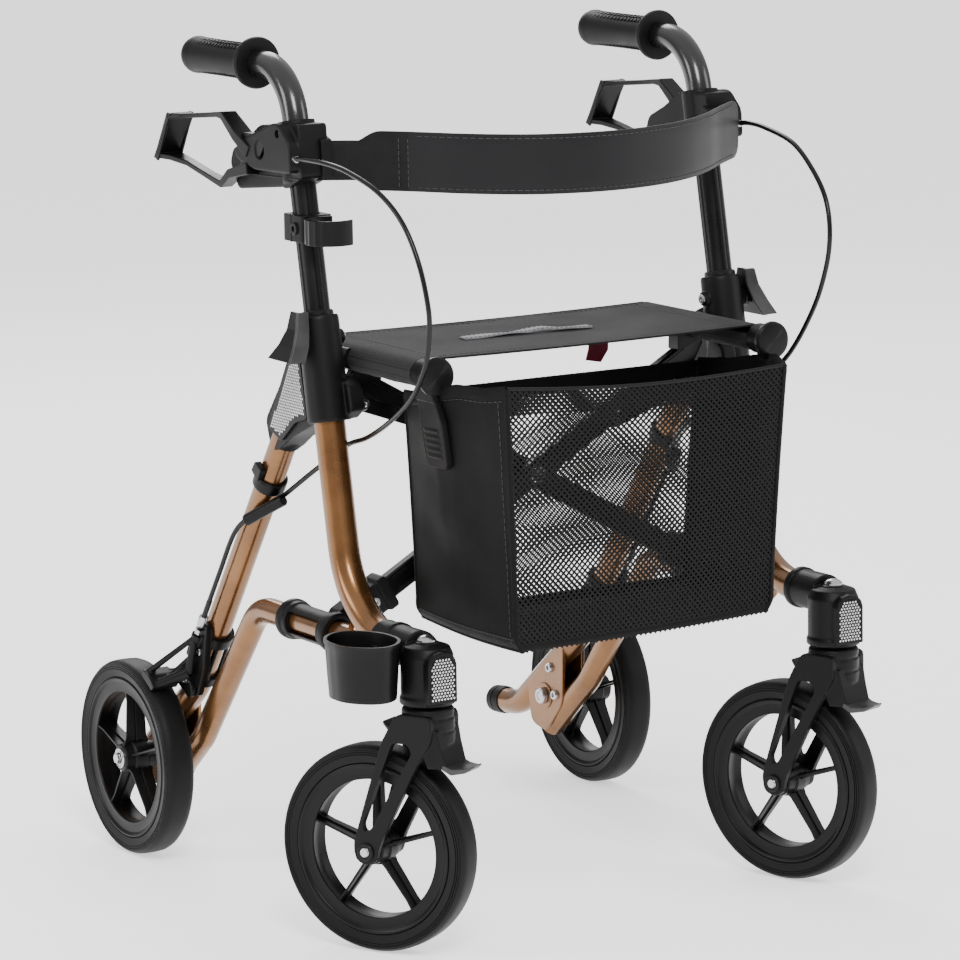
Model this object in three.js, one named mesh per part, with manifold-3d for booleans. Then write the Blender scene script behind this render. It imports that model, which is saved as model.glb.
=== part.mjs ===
// Rollator walker: two side frames on four wheels, joined by a folding X-brace that carries a seat
// and a shopping basket. Telescoping handle posts hold loop brakes and a back strap.
// Millimetres, +Z up. The front faces -Y and the user's right hand is on -X.
// Every side piece is drawn for the left (+X) side frame and mirrored for the right one.
import * as THREE from 'three';
import { mergeVertices } from 'three/addons/utils/BufferGeometryUtils.js';
import Module from 'manifold-3d';

const wasm = await Module();
wasm.setup();

// Driving dimensions.
const FRAME_X = 231; // plane of each side frame, out from the middle
const GAP = 0.3; // clearance between pieces that touch
const SIDES = 12; // flats around a tube

const WHEEL = { radius: 100, width: 32, flats: 32, rimOuter: 82, rimInner: 67, boltRadius: 4 };
const REAR_AXLE = { x: 274.4, y: 232.7, z: 100 };
const CASTER = { y: -282.7, trail: 54.9, yawRight: 29.45, yawLeft: 19.1 };

const POST = { radius: 12.8, bottomZ: 440, bendRadius: 60, gripZ: 820, endY: 146 };
const POST_FOOT = { y: -89, z: 583 }; // where the post leaves the joint housing
const POST_LEAN = 0.188; // metres back for each metre up
const FRONT_LEG = { radius: 15.2, bore: 13.5, topZ: 578, footZ: 291, footY: -254, bend: 127 };
const REAR_LEG = { radius: 13.5, bend: 60 };
const LOWER_TUBE = { radius: 12.5, z: 281, bend: 50 };

const RAIL = { x: 190, z: 542, radius: 10.5, backY: -14, frontY: -233 };
const PIVOT_Z = 412; // height of the X-brace's middle pivot
const BAR = { width: 24, thickness: 12, rightY: -101, leftY: -86 };
const LINK = { x: 205, z: 503, y: -123, along: 95, width: 15, thickness: 5 };

const SEAT = { halfWidth: 196, backY: -12, frontY: -214, bottomZ: 553, topZ: 556 };
const BASKET = { frontY: -310, backY: -143, bottomZ: 292, wall: 4 };
const STRAP = { bottomZ: 706, topZ: 762, thickness: 3.5, endX: 221, endY: -99, bow: 104 };
const CABLE = { radius: 2.5 };

const UP = new THREE.Vector3(0, 1, 0);

// Materials.
const finish = (color, roughness, metalness) => ({ color, roughness, metalness });
const BRONZE = finish(0xa0703a, 0.35, 0.6);
const BLACK_PLASTIC = finish(0x1c1c1d, 0.5, 0);
const BLACK_METAL = finish(0x121212, 0.35, 0.5);
const RUBBER = finish(0x161616, 0.85, 0);
const STEEL = finish(0xb9babc, 0.3, 1);
const FABRIC = finish(0x2b2a2c, 0.9, 0);

// ---------- geometry helpers ----------

const at = (x, y, z) => new THREE.Vector3(x, y, z);
const sidePoint = ([y, z]) => at(FRAME_X, y, z);
const postY = (z) => POST_FOOT.y + (z - POST_FOOT.z) * POST_LEAN;

// A geometry with its shared corners merged and its collapsed triangles dropped.
function solid(geometry) {
  const plain = geometry.clone();
  plain.deleteAttribute('normal');
  plain.deleteAttribute('uv');
  const merged = mergeVertices(plain, 1e-3);
  const corners = [];
  for (let i = 0; i < merged.index.count; i += 3) {
    const [a, b, c] = [0, 1, 2].map((k) => merged.index.getX(i + k));
    if (a !== b && b !== c && c !== a) corners.push(a, b, c);
  }
  return new wasm.Manifold(new wasm.Mesh({
    numProp: 3,
    vertProperties: new Float32Array(merged.attributes.position.array),
    triVerts: new Uint32Array(corners),
  }));
}

function geometryOf(manifold) {
  const mesh = manifold.getMesh();
  const geometry = new THREE.BufferGeometry();
  geometry.setAttribute('position', new THREE.BufferAttribute(mesh.vertProperties, 3));
  geometry.setIndex(new THREE.BufferAttribute(mesh.triVerts, 1));
  return geometry;
}

const join = (first, ...others) =>
  geometryOf(others.reduce((sum, piece) => sum.add(solid(piece)), solid(first)));

const cut = (body, ...tools) =>
  geometryOf(tools.reduce((rest, tool) => rest.subtract(solid(tool)), solid(body)));

function mirrored(geometry) {
  const copy = geometry.index ? geometry.toNonIndexed() : geometry.clone();
  const position = copy.attributes.position;
  for (let i = 0; i < position.count; i += 3) {
    const [a, b, c] = [0, 1, 2].map((k) => at(0, 0, 0).fromBufferAttribute(position, i + k));
    [a, c, b].forEach((p, k) => position.setXYZ(i + k, -p.x, p.y, p.z));
  }
  copy.deleteAttribute('normal');
  return copy;
}

function rod(from, to, radius, sides = SIDES) {
  const along = to.clone().sub(from);
  const geometry = new THREE.CylinderGeometry(radius, radius, along.length(), sides);
  const turn = new THREE.Quaternion().setFromUnitVectors(UP, along.clone().normalize());
  const middle = from.clone().add(to).multiplyScalar(0.5);
  return geometry.applyQuaternion(turn).translate(middle.x, middle.y, middle.z);
}

const rodX = (x0, x1, y, z, radius, sides) => rod(at(x0, y, z), at(x1, y, z), radius, sides);

function box(x0, x1, y0, y1, z0, z1) {
  const geometry = new THREE.BoxGeometry(x1 - x0, y1 - y0, z1 - z0);
  return geometry.translate((x0 + x1) / 2, (y0 + y1) / 2, (z0 + z1) / 2);
}

const polygon = (points) => new THREE.Shape(points.map(([u, v]) => new THREE.Vector2(u, v)));

// A plate with its outline in the YZ plane, from x0 to x1.
function plateX(points, x0, x1) {
  const options = { depth: x1 - x0, bevelEnabled: false };
  const basis = new THREE.Matrix4().makeBasis(at(0, 1, 0), at(0, 0, 1), at(1, 0, 0));
  return new THREE.ExtrudeGeometry(polygon(points), options).applyMatrix4(basis).translate(x0, 0, 0);
}

// A plate with its outline in the XZ plane, from y0 to y1.
function plateY(points, y0, y1) {
  const options = { depth: y1 - y0, bevelEnabled: false };
  const basis = new THREE.Matrix4().makeBasis(at(1, 0, 0), at(0, 0, 1), at(0, -1, 0));
  return new THREE.ExtrudeGeometry(polygon(points), options).applyMatrix4(basis).translate(0, y1, 0);
}

// A body turned about an axis: the profile's points are [radius, height along the axis].
function turned(profile, segments) {
  const points = profile.map(([r, h]) => new THREE.Vector2(r, h));
  return new THREE.LatheGeometry(points, segments);
}

const turnedAboutX = (profile, segments) => turned(profile, segments).rotateZ(-Math.PI / 2);
const turnedAboutZ = (profile, segments) => turned(profile, segments).rotateX(Math.PI / 2);

// A centre line of straight runs joined by arcs, with a station at each run's end and along each arc.
class BentLine extends THREE.Curve {
  constructor(corners, radius, arcSteps = 6) {
    super();
    this.stations = [corners[0].clone()];
    this.directions = [corners[1].clone().sub(corners[0]).normalize()];
    for (let i = 1; i < corners.length - 1; i += 1) {
      this.addArc(corners[i - 1], corners[i], corners[i + 1], radius, arcSteps);
    }
    this.stations.push(corners.at(-1).clone());
    this.directions.push(corners.at(-1).clone().sub(corners.at(-2)).normalize());
  }

  addArc(previous, corner, next, radius, arcSteps) {
    const before = corner.clone().sub(previous).normalize();
    const after = next.clone().sub(corner).normalize();
    const turn = before.angleTo(after);
    const inward = after.clone().addScaledVector(before, -before.dot(after)).normalize();
    const start = corner.clone().addScaledVector(before, -radius * Math.tan(turn / 2));
    for (let k = 0; k <= arcSteps; k += 1) {
      const angle = (turn * k) / arcSteps;
      const station = start.clone().addScaledVector(before, radius * Math.sin(angle));
      this.stations.push(station.addScaledVector(inward, radius * (1 - Math.cos(angle))));
      const direction = before.clone().multiplyScalar(Math.cos(angle));
      this.directions.push(direction.addScaledVector(inward, Math.sin(angle)));
    }
  }

  get steps() {
    return this.stations.length - 1;
  }

  getPointAt(u) {
    return this.stations[Math.round(u * this.steps)].clone();
  }

  getTangentAt(u) {
    return this.directions[Math.round(u * this.steps)].clone();
  }
}

function tubeAlong(path, steps, radius, sides = SIDES) {
  const section = new THREE.Shape().absarc(0, 0, radius, 0, 2 * Math.PI);
  return new THREE.ExtrudeGeometry(section, { steps, extrudePath: path, curveSegments: sides / 2 });
}

function bentTube(corners, bendRadius, radius, arcSteps) {
  const path = new BentLine(corners.map(sidePoint), bendRadius, arcSteps);
  return tubeAlong(path, path.steps, radius);
}

// ---------- side frame ----------

const rearLegCorners = [[-48, 500], [178, 177], [303, 77], [340, 74]];
const lowerTubeCorners = [[-172, LOWER_TUBE.z], [40, LOWER_TUBE.z], [166, 127], [242, 64]];
const frontLegCorners = [
  [postY(FRONT_LEG.topZ), FRONT_LEG.topZ],
  [postY(FRONT_LEG.footZ), FRONT_LEG.footZ],
  [FRONT_LEG.footY, FRONT_LEG.footZ],
];
const clampBolt = { y: postY(565), z: 565 };

const postLine = (z0, z1, radius, sides) =>
  rod(sidePoint([postY(z0), z0]), sidePoint([postY(z1), z1]), radius, sides);

const frontLegTube = (extra) => bentTube(frontLegCorners, FRONT_LEG.bend, FRONT_LEG.radius + extra, 10);
const rearLegTube = (extra) => bentTube(rearLegCorners, REAR_LEG.bend, REAR_LEG.radius + extra, 4);
const lowerTubeSolid = (extra) => bentTube(lowerTubeCorners, LOWER_TUBE.bend, LOWER_TUBE.radius + extra, 4);

function frontLeg() {
  const bore = postLine(400, FRONT_LEG.topZ + 10, FRONT_LEG.bore);
  const boltHole = rodX(FRAME_X + 8, FRAME_X + 30, clampBolt.y, clampBolt.z, 4.6, 10);
  return cut(frontLegTube(0), bore, boltHole);
}

const rearLeg = () => rearLegTube(0);

const lowerTube = () => cut(lowerTubeSolid(0), frontLegTube(GAP));

function axleBracket() {
  const outline = [[208, 153], [208, 92], [240, 65.6], [252, 72], [256, 114.5]];
  const plate = plateX(outline, FRAME_X - 12, FRAME_X + 12);
  const axleHole = rodX(FRAME_X - 20, FRAME_X + 20, REAR_AXLE.y, REAR_AXLE.z, 5.4);
  return cut(plate, rearLegTube(GAP), lowerTubeSolid(GAP), axleHole);
}

function jointHousing() {
  const sleeve = postLine(487, POST_FOOT.z, 20.5);
  const web = [[-104, 562], [-62, 545], [-4, 473], [-16, 449], [-48, 462], [-102, 489]];
  const rearSocket = rod(sidePoint([-58, 514]), sidePoint([-17, 455.7]), 17);
  const capScrew = rodX(FRAME_X - 24, FRAME_X - 12, clampBolt.y, clampBolt.z, 6.5, 12);
  const wing = box(LINK.x - 8, FRAME_X - 10, -118, -109, 493, 515);
  const linkPin = rod(at(LINK.x, -112, LINK.z), at(LINK.x, -128, LINK.z), 3.7, 10);
  const body = join(sleeve, plateX(web, FRAME_X - 13, FRAME_X + 13), rearSocket, capScrew, wing, linkPin);
  const legBore = postLine(470, 600, FRONT_LEG.radius + 0.6);
  const rearBore = rod(sidePoint([-48.6, 500.9]), sidePoint([12, 414.1]), REAR_LEG.radius + 0.5);
  const boltHole = rodX(FRAME_X + 8, FRAME_X + 30, clampBolt.y, clampBolt.z, 4.6, 10);
  return cut(body, legBore, rearBore, boltHole);
}

// The wing of the knob flares out towards its lower edge.
function clampKnob() {
  const { y, z } = clampBolt;
  const hub = rodX(FRAME_X + 22, FRAME_X + 30, y, z, 9);
  const stud = rodX(FRAME_X + 13.2, FRAME_X + 24, y, z, 4.2, 10);
  const blade = plateY([[253, 592], [261, 592], [277, 546], [258, 548], [253, 562]], y - 8, y + 8);
  const foot = plateY([[255, 556], [272, 560], [277, 546], [258, 548]], y - 24, y + 24);
  return join(hub, stud, blade, foot);
}

function tipPlug() {
  const [before, end] = rearLegCorners.slice(-2).map(sidePoint);
  const outward = end.clone().sub(before).normalize();
  const from = end.clone().addScaledVector(outward, GAP);
  return rod(from, from.clone().addScaledVector(outward, 16.5), REAR_LEG.radius + 1);
}

// ---------- handle post ----------

function handlePost() {
  const corners = [[postY(POST.bottomZ), POST.bottomZ], [postY(POST.gripZ), POST.gripZ],
      [POST.endY, POST.gripZ]];
  return bentTube(corners, POST.bendRadius, POST.radius, 8);
}

function grip() {
  const profile = [[13.3, 20], [25, 20], [25, 26], [17, 28], [16, 90], [17.5, 146], [15, 151.5], [0, 151.5],
    [0, 146.6], [13.3, 146.6], [13.3, 20]];
  const body = turned(profile, 20);
  return body.translate(FRAME_X, 0, POST.gripZ);
}

const LEVER = { y: -37, z: 748, x0: 248.2, x1: 257.6 };

function brakeHousing() {
  const outline = [[-95, 719], [-88, 771], [-12, 766], [30, 757], [48, 728], [30, 701], [-60, 712]];
  const block = plateX(outline, FRAME_X - 14.5, LEVER.x0 - 0.7);
  const cover = plateX([[-91, 726], [-88, 756], [-60, 768], [-16, 764], [6, 748], [-2, 728]],
      LEVER.x1 + 0.6, 264);
  const bridge = box(FRAME_X, 264, -91, -62, 727, 757);
  const pin = rodX(LEVER.x0 - 3, LEVER.x1 + 3, LEVER.y, LEVER.z, 4, 10);
  const body = join(block, cover, bridge, pin);
  return cut(body, postLine(700, 790, POST.radius + 0.5));
}

function brakeLever() {
  const loopOuter = [[0, 763], [38, 776], [146, 765], [173, 720], [163, 714], [50, 698], [8, 722]];
  const loopInner = [[20, 752], [44, 765], [137, 755], [158, 725], [54, 709], [22, 731]];
  const hub = rodX(LEVER.x0, LEVER.x1, LEVER.y, LEVER.z, 13);
  const neck = plateX([[-37, 760], [2, 763], [10, 724], [-37, 736]], LEVER.x0, LEVER.x1);
  const pad = plateX([[137, 767], [144, 770], [176, 718], [168, 714]], 240, 268);
  const loop = cut(plateX(loopOuter, LEVER.x0, LEVER.x1), plateX(loopInner, LEVER.x0 - 1, LEVER.x1 + 1));
  return cut(join(hub, neck, loop, pad), rodX(LEVER.x0 - 1, LEVER.x1 + 1, LEVER.y, LEVER.z, 4.4, 12));
}

// The cable bows forward from the brake housing, comes back past the inner side of the front leg,
// goes under the rear leg and follows its outer side down to the adjuster.
const CABLE_ROUTE = [
  [256, -91.6, 747], [256, -112, 746], [253, -140, 741], [247, -176, 727], [241, -222, 699],
  [236, -262, 667], [232, -286, 632], [229, -301, 600], [227, -302, 572], [225, -287, 548],
  [221, -246, 518], [217, -196, 494], [212.5, -140, 475], [211, -110, 463], [211, -78, 447],
  [215, -40, 425], [226, -2, 398], [243, 16, 381], [251.5, 48, 360], [252.5, 84, 311], [252.5, 132.6, 241.6],
];

function brakeCable() {
  const route = new THREE.CatmullRomCurve3(CABLE_ROUTE.map((p) => at(...p)), false, 'centripetal');
  return tubeAlong(route, 48, CABLE.radius, 8);
}

// ---------- rear brake ----------

const SHOE_PIVOT = { y: 148, z: 182 };

function brakeBracket() {
  const clamp = rod(sidePoint([122, 257]), sidePoint([164, 197]), 17.5);
  const ear = plateX([[126, 236], [146, 222], [158, 196], [156, 176], [143, 174], [128, 206]], 244.8, 251.9);
  const pin = rodX(248, 259, SHOE_PIVOT.y, SHOE_PIVOT.z, 3.7, 10);
  const adjuster = rod(at(252.5, 133, 241), at(252.5, 147, 221), 5.5, 10);
  return cut(join(clamp, ear, pin, adjuster), rearLegTube(GAP));
}

function brakeShoe() {
  const clearance = 2.6;
  const angle = THREE.MathUtils.degToRad(114);
  const reach = WHEEL.radius + clearance;
  const [outY, outZ] = [Math.cos(angle), Math.sin(angle)];
  const on = (radial, along) => [
    REAR_AXLE.y + outY * (reach + radial) - outZ * along,
    REAR_AXLE.z + outZ * (reach + radial) + outY * along,
  ];
  const pad = plateX([on(0, -11), on(8, -11), on(8, 11), on(0, 11)], 252.5, 287);
  const { y, z } = SHOE_PIVOT;
  const arm = plateX([[y - 4, z + 6], [y + 2, z - 7], on(1, -9), on(8, -2), on(8, 10)], 252.5, 257.6);
  const eye = rodX(252.5, 257.6, y, z, 7.5);
  return cut(join(pad, arm, eye), rodX(250, 260, y, z, 4.1, 12));
}

// ---------- wheels ----------

function tyre() {
  const half = WHEEL.width / 2;
  const outer = WHEEL.radius / Math.cos(Math.PI / WHEEL.flats);
  const inner = WHEEL.rimOuter + GAP;
  const profile = [[inner, -14], [90, -half], [96, -14], [outer, -8], [outer, 8], [96, 14], [90, half],
    [inner, 14], [inner, -14]];
  return turnedAboutX(profile, WHEEL.flats).rotateX(Math.PI / WHEEL.flats);
}

function spokedWheel() {
  const rimInnerHalf = 11;
  const hubHalf = 18.6;
  const { rimInner, rimOuter, flats } = WHEEL;
  const section = [[rimInner, -rimInnerHalf], [rimOuter, -12.5], [rimOuter, 12.5], [rimInner, rimInnerHalf],
    [rimInner, -rimInnerHalf]];
  const rim = turnedAboutX(section, flats).rotateX(Math.PI / flats);
  const hub = turnedAboutX([[0, -hubHalf], [15, -hubHalf], [18, -10], [18, 10], [15, hubHalf], [0,
      hubHalf]], 20);
  const spokes = [0, 1, 2, 3, 4].map((k) => {
    const spoke = plateX([[-9, 12], [-5.5, rimInner + 4], [5.5, rimInner + 4], [9, 12]], -8, 8);
    return spoke.rotateX((k * 2 * Math.PI) / 5);
  });
  return cut(join(rim, hub, ...spokes), rodX(-30, 30, 0, 0, WHEEL.boltRadius + 0.5, 12));
}

const atRearAxle = (geometry) => geometry.translate(REAR_AXLE.x, REAR_AXLE.y, REAR_AXLE.z);

// The tyre is cut 0.3 mm off the rim, and the rim's flats follow the tyre's.
const rearTyre = () => atRearAxle(tyre());
const rearWheel = () => atRearAxle(spokedWheel());

function rearAxle() {
  const { y, z } = REAR_AXLE;
  const head = rodX(209, FRAME_X - 12 - GAP, y, z, 9, 6);
  const nut = rodX(REAR_AXLE.x + 19, REAR_AXLE.x + 25, y, z, 8, 6);
  const collar = rodX(FRAME_X + 12 + GAP, REAR_AXLE.x - 19, y, z, 8, 12);
  return join(rodX(212, REAR_AXLE.x + 22, y, z, WHEEL.boltRadius, 12), head, nut, collar);
}

// ---------- casters ----------

function frontKnuckle() {
  const profile = [[0, 243], [26, 243], [26, 249], [24, 252], [24, 292], [20, 299], [0, 302]];
  const body = turned(profile, 20).rotateX(Math.PI / 2).translate(FRAME_X, CASTER.y, 0);
  const socket = rod(sidePoint([-275, FRONT_LEG.footZ]), sidePoint([-224, FRONT_LEG.footZ]), 19.5);
  const face = box(FRAME_X - 13, FRAME_X + 13, CASTER.y - 29, CASTER.y, 248, 293);
  const stemBore = rod(at(FRAME_X, CASTER.y, 240), at(FRAME_X, CASTER.y, 286), 8.6);
  return cut(join(body, socket, face), frontLegTube(GAP + 0.2), stemBore);
}

// Caster pieces are drawn about the swivel axis with the wheel trailing straight back.
function casterFork() {
  const crown = turnedAboutZ([[0, 208], [26, 208], [26, 228], [23, 239], [0, 239]], 20);
  const stem = rod(at(0, 0, 230), at(0, 0, 284), 8, 12);
  const { trail } = CASTER;
  const outline = [[-16, 232], [18, 232], [30, 205], [trail + 12.5, 103], [trail + 9, 92], [trail, 87.5],
    [trail - 9, 92], [trail - 12.5, 103], [14, 190], [-16, 212]];
  const blades = [-26, 19.5].map((x) => plateX(outline, x, x + 6.5));
  return cut(join(crown, stem, ...blades), rodX(-40, 40, trail, WHEEL.radius, WHEEL.boltRadius + 0.5, 12));
}

const atCasterWheel = (geometry) => geometry.translate(0, CASTER.trail, WHEEL.radius);
const frontTyre = () => atCasterWheel(tyre());
const frontWheel = () => atCasterWheel(spokedWheel());

function frontAxle() {
  const bolt = rodX(-30, 30, 0, 0, WHEEL.boltRadius, 12);
  const ends = [-33, 26.5 + GAP].map((x) => rodX(x, x + 6.2, 0, 0, 8, 6));
  return atCasterWheel(join(bolt, ...ends));
}

// ---------- X-brace, rails and hangers ----------

const restAngle = Math.atan2(PIVOT_Z - LOWER_TUBE.z, FRAME_X);
const reach = Math.hypot(PIVOT_Z - LOWER_TUBE.z, FRAME_X); // lower hinge to middle pivot

// A point of the bar that climbs towards +X: s along it from the middle pivot, e square to it.
const onBar = (s, e) => [
  s * Math.cos(restAngle) - e * Math.sin(restAngle),
  PIVOT_Z + s * Math.sin(restAngle) + e * Math.cos(restAngle),
];

function barPlate(s0, s1, half, y0, y1) {
  return plateY([onBar(s0, -half), onBar(s1, -half), onBar(s1, half), onBar(s0, half)], y0, y1);
}

const railAt = (x, radius, y0, y1) => rod(at(x, y0, RAIL.z), at(x, y1, RAIL.z), radius);

// The bar that starts on the right side frame and carries the left seat rail. Its outer end corner is
// taken off, so that it passes the handle post when the frame folds.
function braceBar(y) {
  const half = BAR.width / 2;
  const start = -reach + 24;
  const outline = [[start, -half], [208, -half], [228, 0], [228, half], [start, half]];
  const bar = plateY(outline.map(([s, e]) => onBar(s, e)), y - BAR.thickness / 2, y + BAR.thickness / 2);
  const saddle = railAt(RAIL.x, RAIL.radius + GAP, -300, 100);
  const hole = rod(at(0, y - 20, PIVOT_Z), at(0, y + 20, PIVOT_Z), 5.5, 12);
  return cut(bar, saddle, hole);
}

function braceSleeve(y) {
  const hinge = { x: -FRAME_X, z: LOWER_TUBE.z };
  const ring = rod(at(hinge.x, -118, hinge.z), at(hinge.x, -24, hinge.z), 18);
  const depth = BAR.thickness / 2;
  const socket = barPlate(-reach, -reach + 70, BAR.width / 2 + 4, y - depth - 4, y + depth + 4);
  const tube = rod(at(hinge.x, -200, hinge.z), at(hinge.x, 0, hinge.z), LOWER_TUBE.radius + 0.9);
  const barRoom = barPlate(-reach + 24 - GAP, -reach + 80, BAR.width / 2 + GAP, y - depth - GAP,
      y + depth + GAP);
  return cut(join(ring, socket), tube, barRoom);
}

// The link from the right housing's wing to the front face of the bar that climbs towards -X.
function upperLink(barY) {
  const [endX, endZ] = onBar(LINK.along, 0);
  const start = at(-LINK.x, LINK.y, LINK.z);
  const end = at(-endX, LINK.y, endZ);
  const along = end.clone().sub(start).normalize();
  const square = at(-along.z, 0, along.x).multiplyScalar(LINK.width / 2);
  const corners = [[start, -1], [end, -1], [end, 1], [start, 1]].map(([p, side]) => {
    const corner = p.clone().addScaledVector(square, side);
    return [corner.x, corner.z];
  });
  const half = LINK.thickness / 2;
  const y = LINK.y;
  const bar = plateY(corners, y - half, y + half);
  const eyes = [start, end].map((p) => rod(at(p.x, y - half, p.z), at(p.x, y + half, p.z), LINK.width / 2));
  const pin = rod(at(end.x, y + half - 1, end.z), at(end.x, barY - BAR.thickness / 2 - 1, end.z), 3.7, 10);
  const hole = rod(at(start.x, y - 9, start.z), at(start.x, y + 9, start.z), 4.1, 12);
  return cut(join(bar, ...eyes, pin), hole);
}

const seatRail = () => railAt(RAIL.x, RAIL.radius, RAIL.backY, RAIL.frontY);

function basketHanger() {
  const { x, z } = RAIL;
  const neck = railAt(x, 15, SEAT.frontY - 2, -235);
  const disc = rod(at(x, -234, z), at(x, -241, z), 18.5, 24);
  const tab = plateX([[-217, 530], [-236, 530], [-240, 456], [-214, 456]], x + 0.5, x + 4.5);
  const body = join(neck, disc, tab);
  return cut(body, railAt(x, RAIL.radius + GAP + 0.2, 0, RAIL.frontY - GAP));
}

const pivotBolt = () => {
  const front = BAR.rightY - BAR.thickness / 2;
  const back = BAR.leftY + BAR.thickness / 2;
  const along = (y0, y1, radius, sides) => rod(at(0, y0, PIVOT_Z), at(0, y1, PIVOT_Z), radius, sides);
  return join(along(front - 4, back + 4, 5, 12), along(front - 5, front - GAP, 9),
      along(back + GAP, back + 6, 9, 6));
};

// ---------- soft parts ----------

const seatPanel = () =>
  box(-SEAT.halfWidth, SEAT.halfWidth, SEAT.frontY, SEAT.backY, SEAT.bottomZ, SEAT.topZ);

// A closed form between two outlines with the same number of points, each point [x, y, z].
function loft(lower, upper) {
  const count = lower.length;
  const positions = [...lower, ...upper].flat();
  const corners = [];
  for (let i = 0; i < count; i += 1) {
    const j = (i + 1) % count;
    corners.push(i, j, count + j, i, count + j, count + i);
  }
  for (let i = 1; i < count - 1; i += 1) {
    corners.push(0, i + 1, i, count, count + i, count + i + 1);
  }
  const geometry = new THREE.BufferGeometry();
  geometry.setAttribute('position', new THREE.Float32BufferAttribute(positions, 3));
  geometry.setIndex(corners);
  return geometry;
}

// The basket widens towards its rim, most where it hangs from the rails.
function basketForm(inset, floorZ, lift) {
  const front = BASKET.frontY + inset;
  const back = BASKET.backY - inset;
  const outline = [[-157, -150, front], [157, 150, front], [187, 150, -233], [168, 149, back],
    [-168, -149, back], [-187, -150, -233]];
  const inward = (x) => x - Math.sign(x) * inset;
  const rim = (y) => 532 + (BASKET.frontY - y) * 0.13 + lift;
  const lower = outline.map(([, x, y]) => [inward(x), y, floorZ]);
  const upper = outline.map(([x, , y]) => [inward(x), y, rim(y)]);
  return loft(lower, upper);
}

const basket = () =>
  cut(basketForm(0, BASKET.bottomZ, 0), basketForm(BASKET.wall, BASKET.bottomZ + BASKET.wall, 10));

function backStrap() {
  const points = [];
  for (let k = -8; k <= 8; k += 1) {
    const t = k / 8;
    points.push(at(STRAP.endX * t, STRAP.endY - STRAP.bow * (1 - t ** 4), 0));
  }
  const route = new THREE.CatmullRomCurve3(points, false, 'centripetal');
  const height = STRAP.topZ - STRAP.bottomZ;
  const section = polygon([[-height / 2, -STRAP.thickness / 2], [height / 2, -STRAP.thickness / 2],
    [height / 2, STRAP.thickness / 2], [-height / 2, STRAP.thickness / 2]]);
  const band = new THREE.ExtrudeGeometry(section, { steps: 40, extrudePath: route });
  return band.translate(0, 0, (STRAP.topZ + STRAP.bottomZ) / 2);
}

// ---------- cane holder, on the right side only ----------

function caneClip() {
  const [z0, z1] = [657, 683];
  const y = postY(670);
  const collar = box(-FRAME_X - 17, -FRAME_X + 16.5, y - 22, y + 19, z0, z1);
  const ringCentre = y - 44;
  const ring = rod(at(-FRAME_X, ringCentre, z0), at(-FRAME_X, ringCentre, z1), 24, 20);
  const room = rod(at(-FRAME_X, ringCentre, z0 - 5), at(-FRAME_X, ringCentre, z1 + 5), 20.5, 20);
  const mouth = box(-FRAME_X, -FRAME_X + 30, ringCentre - 13, ringCentre + 13, z0 - 5, z1 + 5);
  const post = rod(at(-FRAME_X, postY(640), 640), at(-FRAME_X, postY(700), 700), POST.radius + 0.5);
  return cut(join(collar, cut(ring, room, mouth)), post);
}

const CUP = { x: -285, y: -254, bottomZ: 250, topZ: 306, wall: 3 };

function cupForm(inset, z0, z1) {
  const ring = (scale, z) => Array.from({ length: 16 }, (_, k) => {
    const angle = (k * Math.PI) / 8;
    const point = 1 + 0.12 * Math.abs(Math.sin(angle)) ** 3;
    const x = CUP.x + (31 * scale - inset) * Math.cos(angle);
    return [x, CUP.y + (38 * scale * point - inset) * Math.sin(angle), z];
  });
  const scaleAt = (z) => 0.82 + (0.18 * (z - CUP.bottomZ)) / (CUP.topZ - CUP.bottomZ);
  return loft(ring(scaleAt(z0), z0), ring(scaleAt(z1), z1));
}

function caneCup() {
  const hollow = cupForm(CUP.wall, CUP.bottomZ + CUP.wall, CUP.topZ + 8);
  const bridge = box(CUP.x + 22, -FRAME_X - 8, -240, -218, 266, 290);
  const leg = mirrored(frontLegTube(GAP));
  const knuckleRoom = rod(at(-FRAME_X, -280, FRONT_LEG.footZ), at(-FRAME_X, -200, FRONT_LEG.footZ), 20);
  return cut(join(cupForm(0, CUP.bottomZ, CUP.topZ), bridge), hollow, leg, knuckleRoom);
}

// ---------- assembly ----------

const walker = new THREE.Group();

function add(parent, name, geometry, look) {
  const mesh = new THREE.Mesh(geometry, new THREE.MeshStandardMaterial(look));
  mesh.name = name;
  parent.add(mesh);
}

const sidePieces = {
  joint_housing: [jointHousing(), BLACK_PLASTIC],
  front_leg: [frontLeg(), BRONZE],
  rear_leg: [rearLeg(), BRONZE],
  lower_tube: [lowerTube(), BRONZE],
  axle_bracket: [axleBracket(), BRONZE],
  tip_plug: [tipPlug(), BLACK_PLASTIC],
  clamp_knob: [clampKnob(), BLACK_PLASTIC],
  handle_post: [handlePost(), BLACK_METAL],
  grip: [grip(), RUBBER],
  brake_housing: [brakeHousing(), BLACK_PLASTIC],
  brake_lever: [brakeLever(), BLACK_PLASTIC],
  brake_cable: [brakeCable(), BLACK_PLASTIC],
  brake_bracket: [brakeBracket(), BLACK_PLASTIC],
  brake_shoe: [brakeShoe(), BLACK_PLASTIC],
  rear_tyre: [rearTyre(), RUBBER],
  rear_wheel: [rearWheel(), BLACK_PLASTIC],
  rear_axle: [rearAxle(), STEEL],
  front_knuckle: [frontKnuckle(), BLACK_PLASTIC],
  seat_rail: [seatRail(), BLACK_METAL],
  basket_hanger: [basketHanger(), BLACK_PLASTIC],
};

for (const [name, [geometry, look]] of Object.entries(sidePieces)) {
  add(walker, `left_${name}`, geometry, look);
  add(walker, `right_${name}`, mirrored(geometry), look);
}

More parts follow.
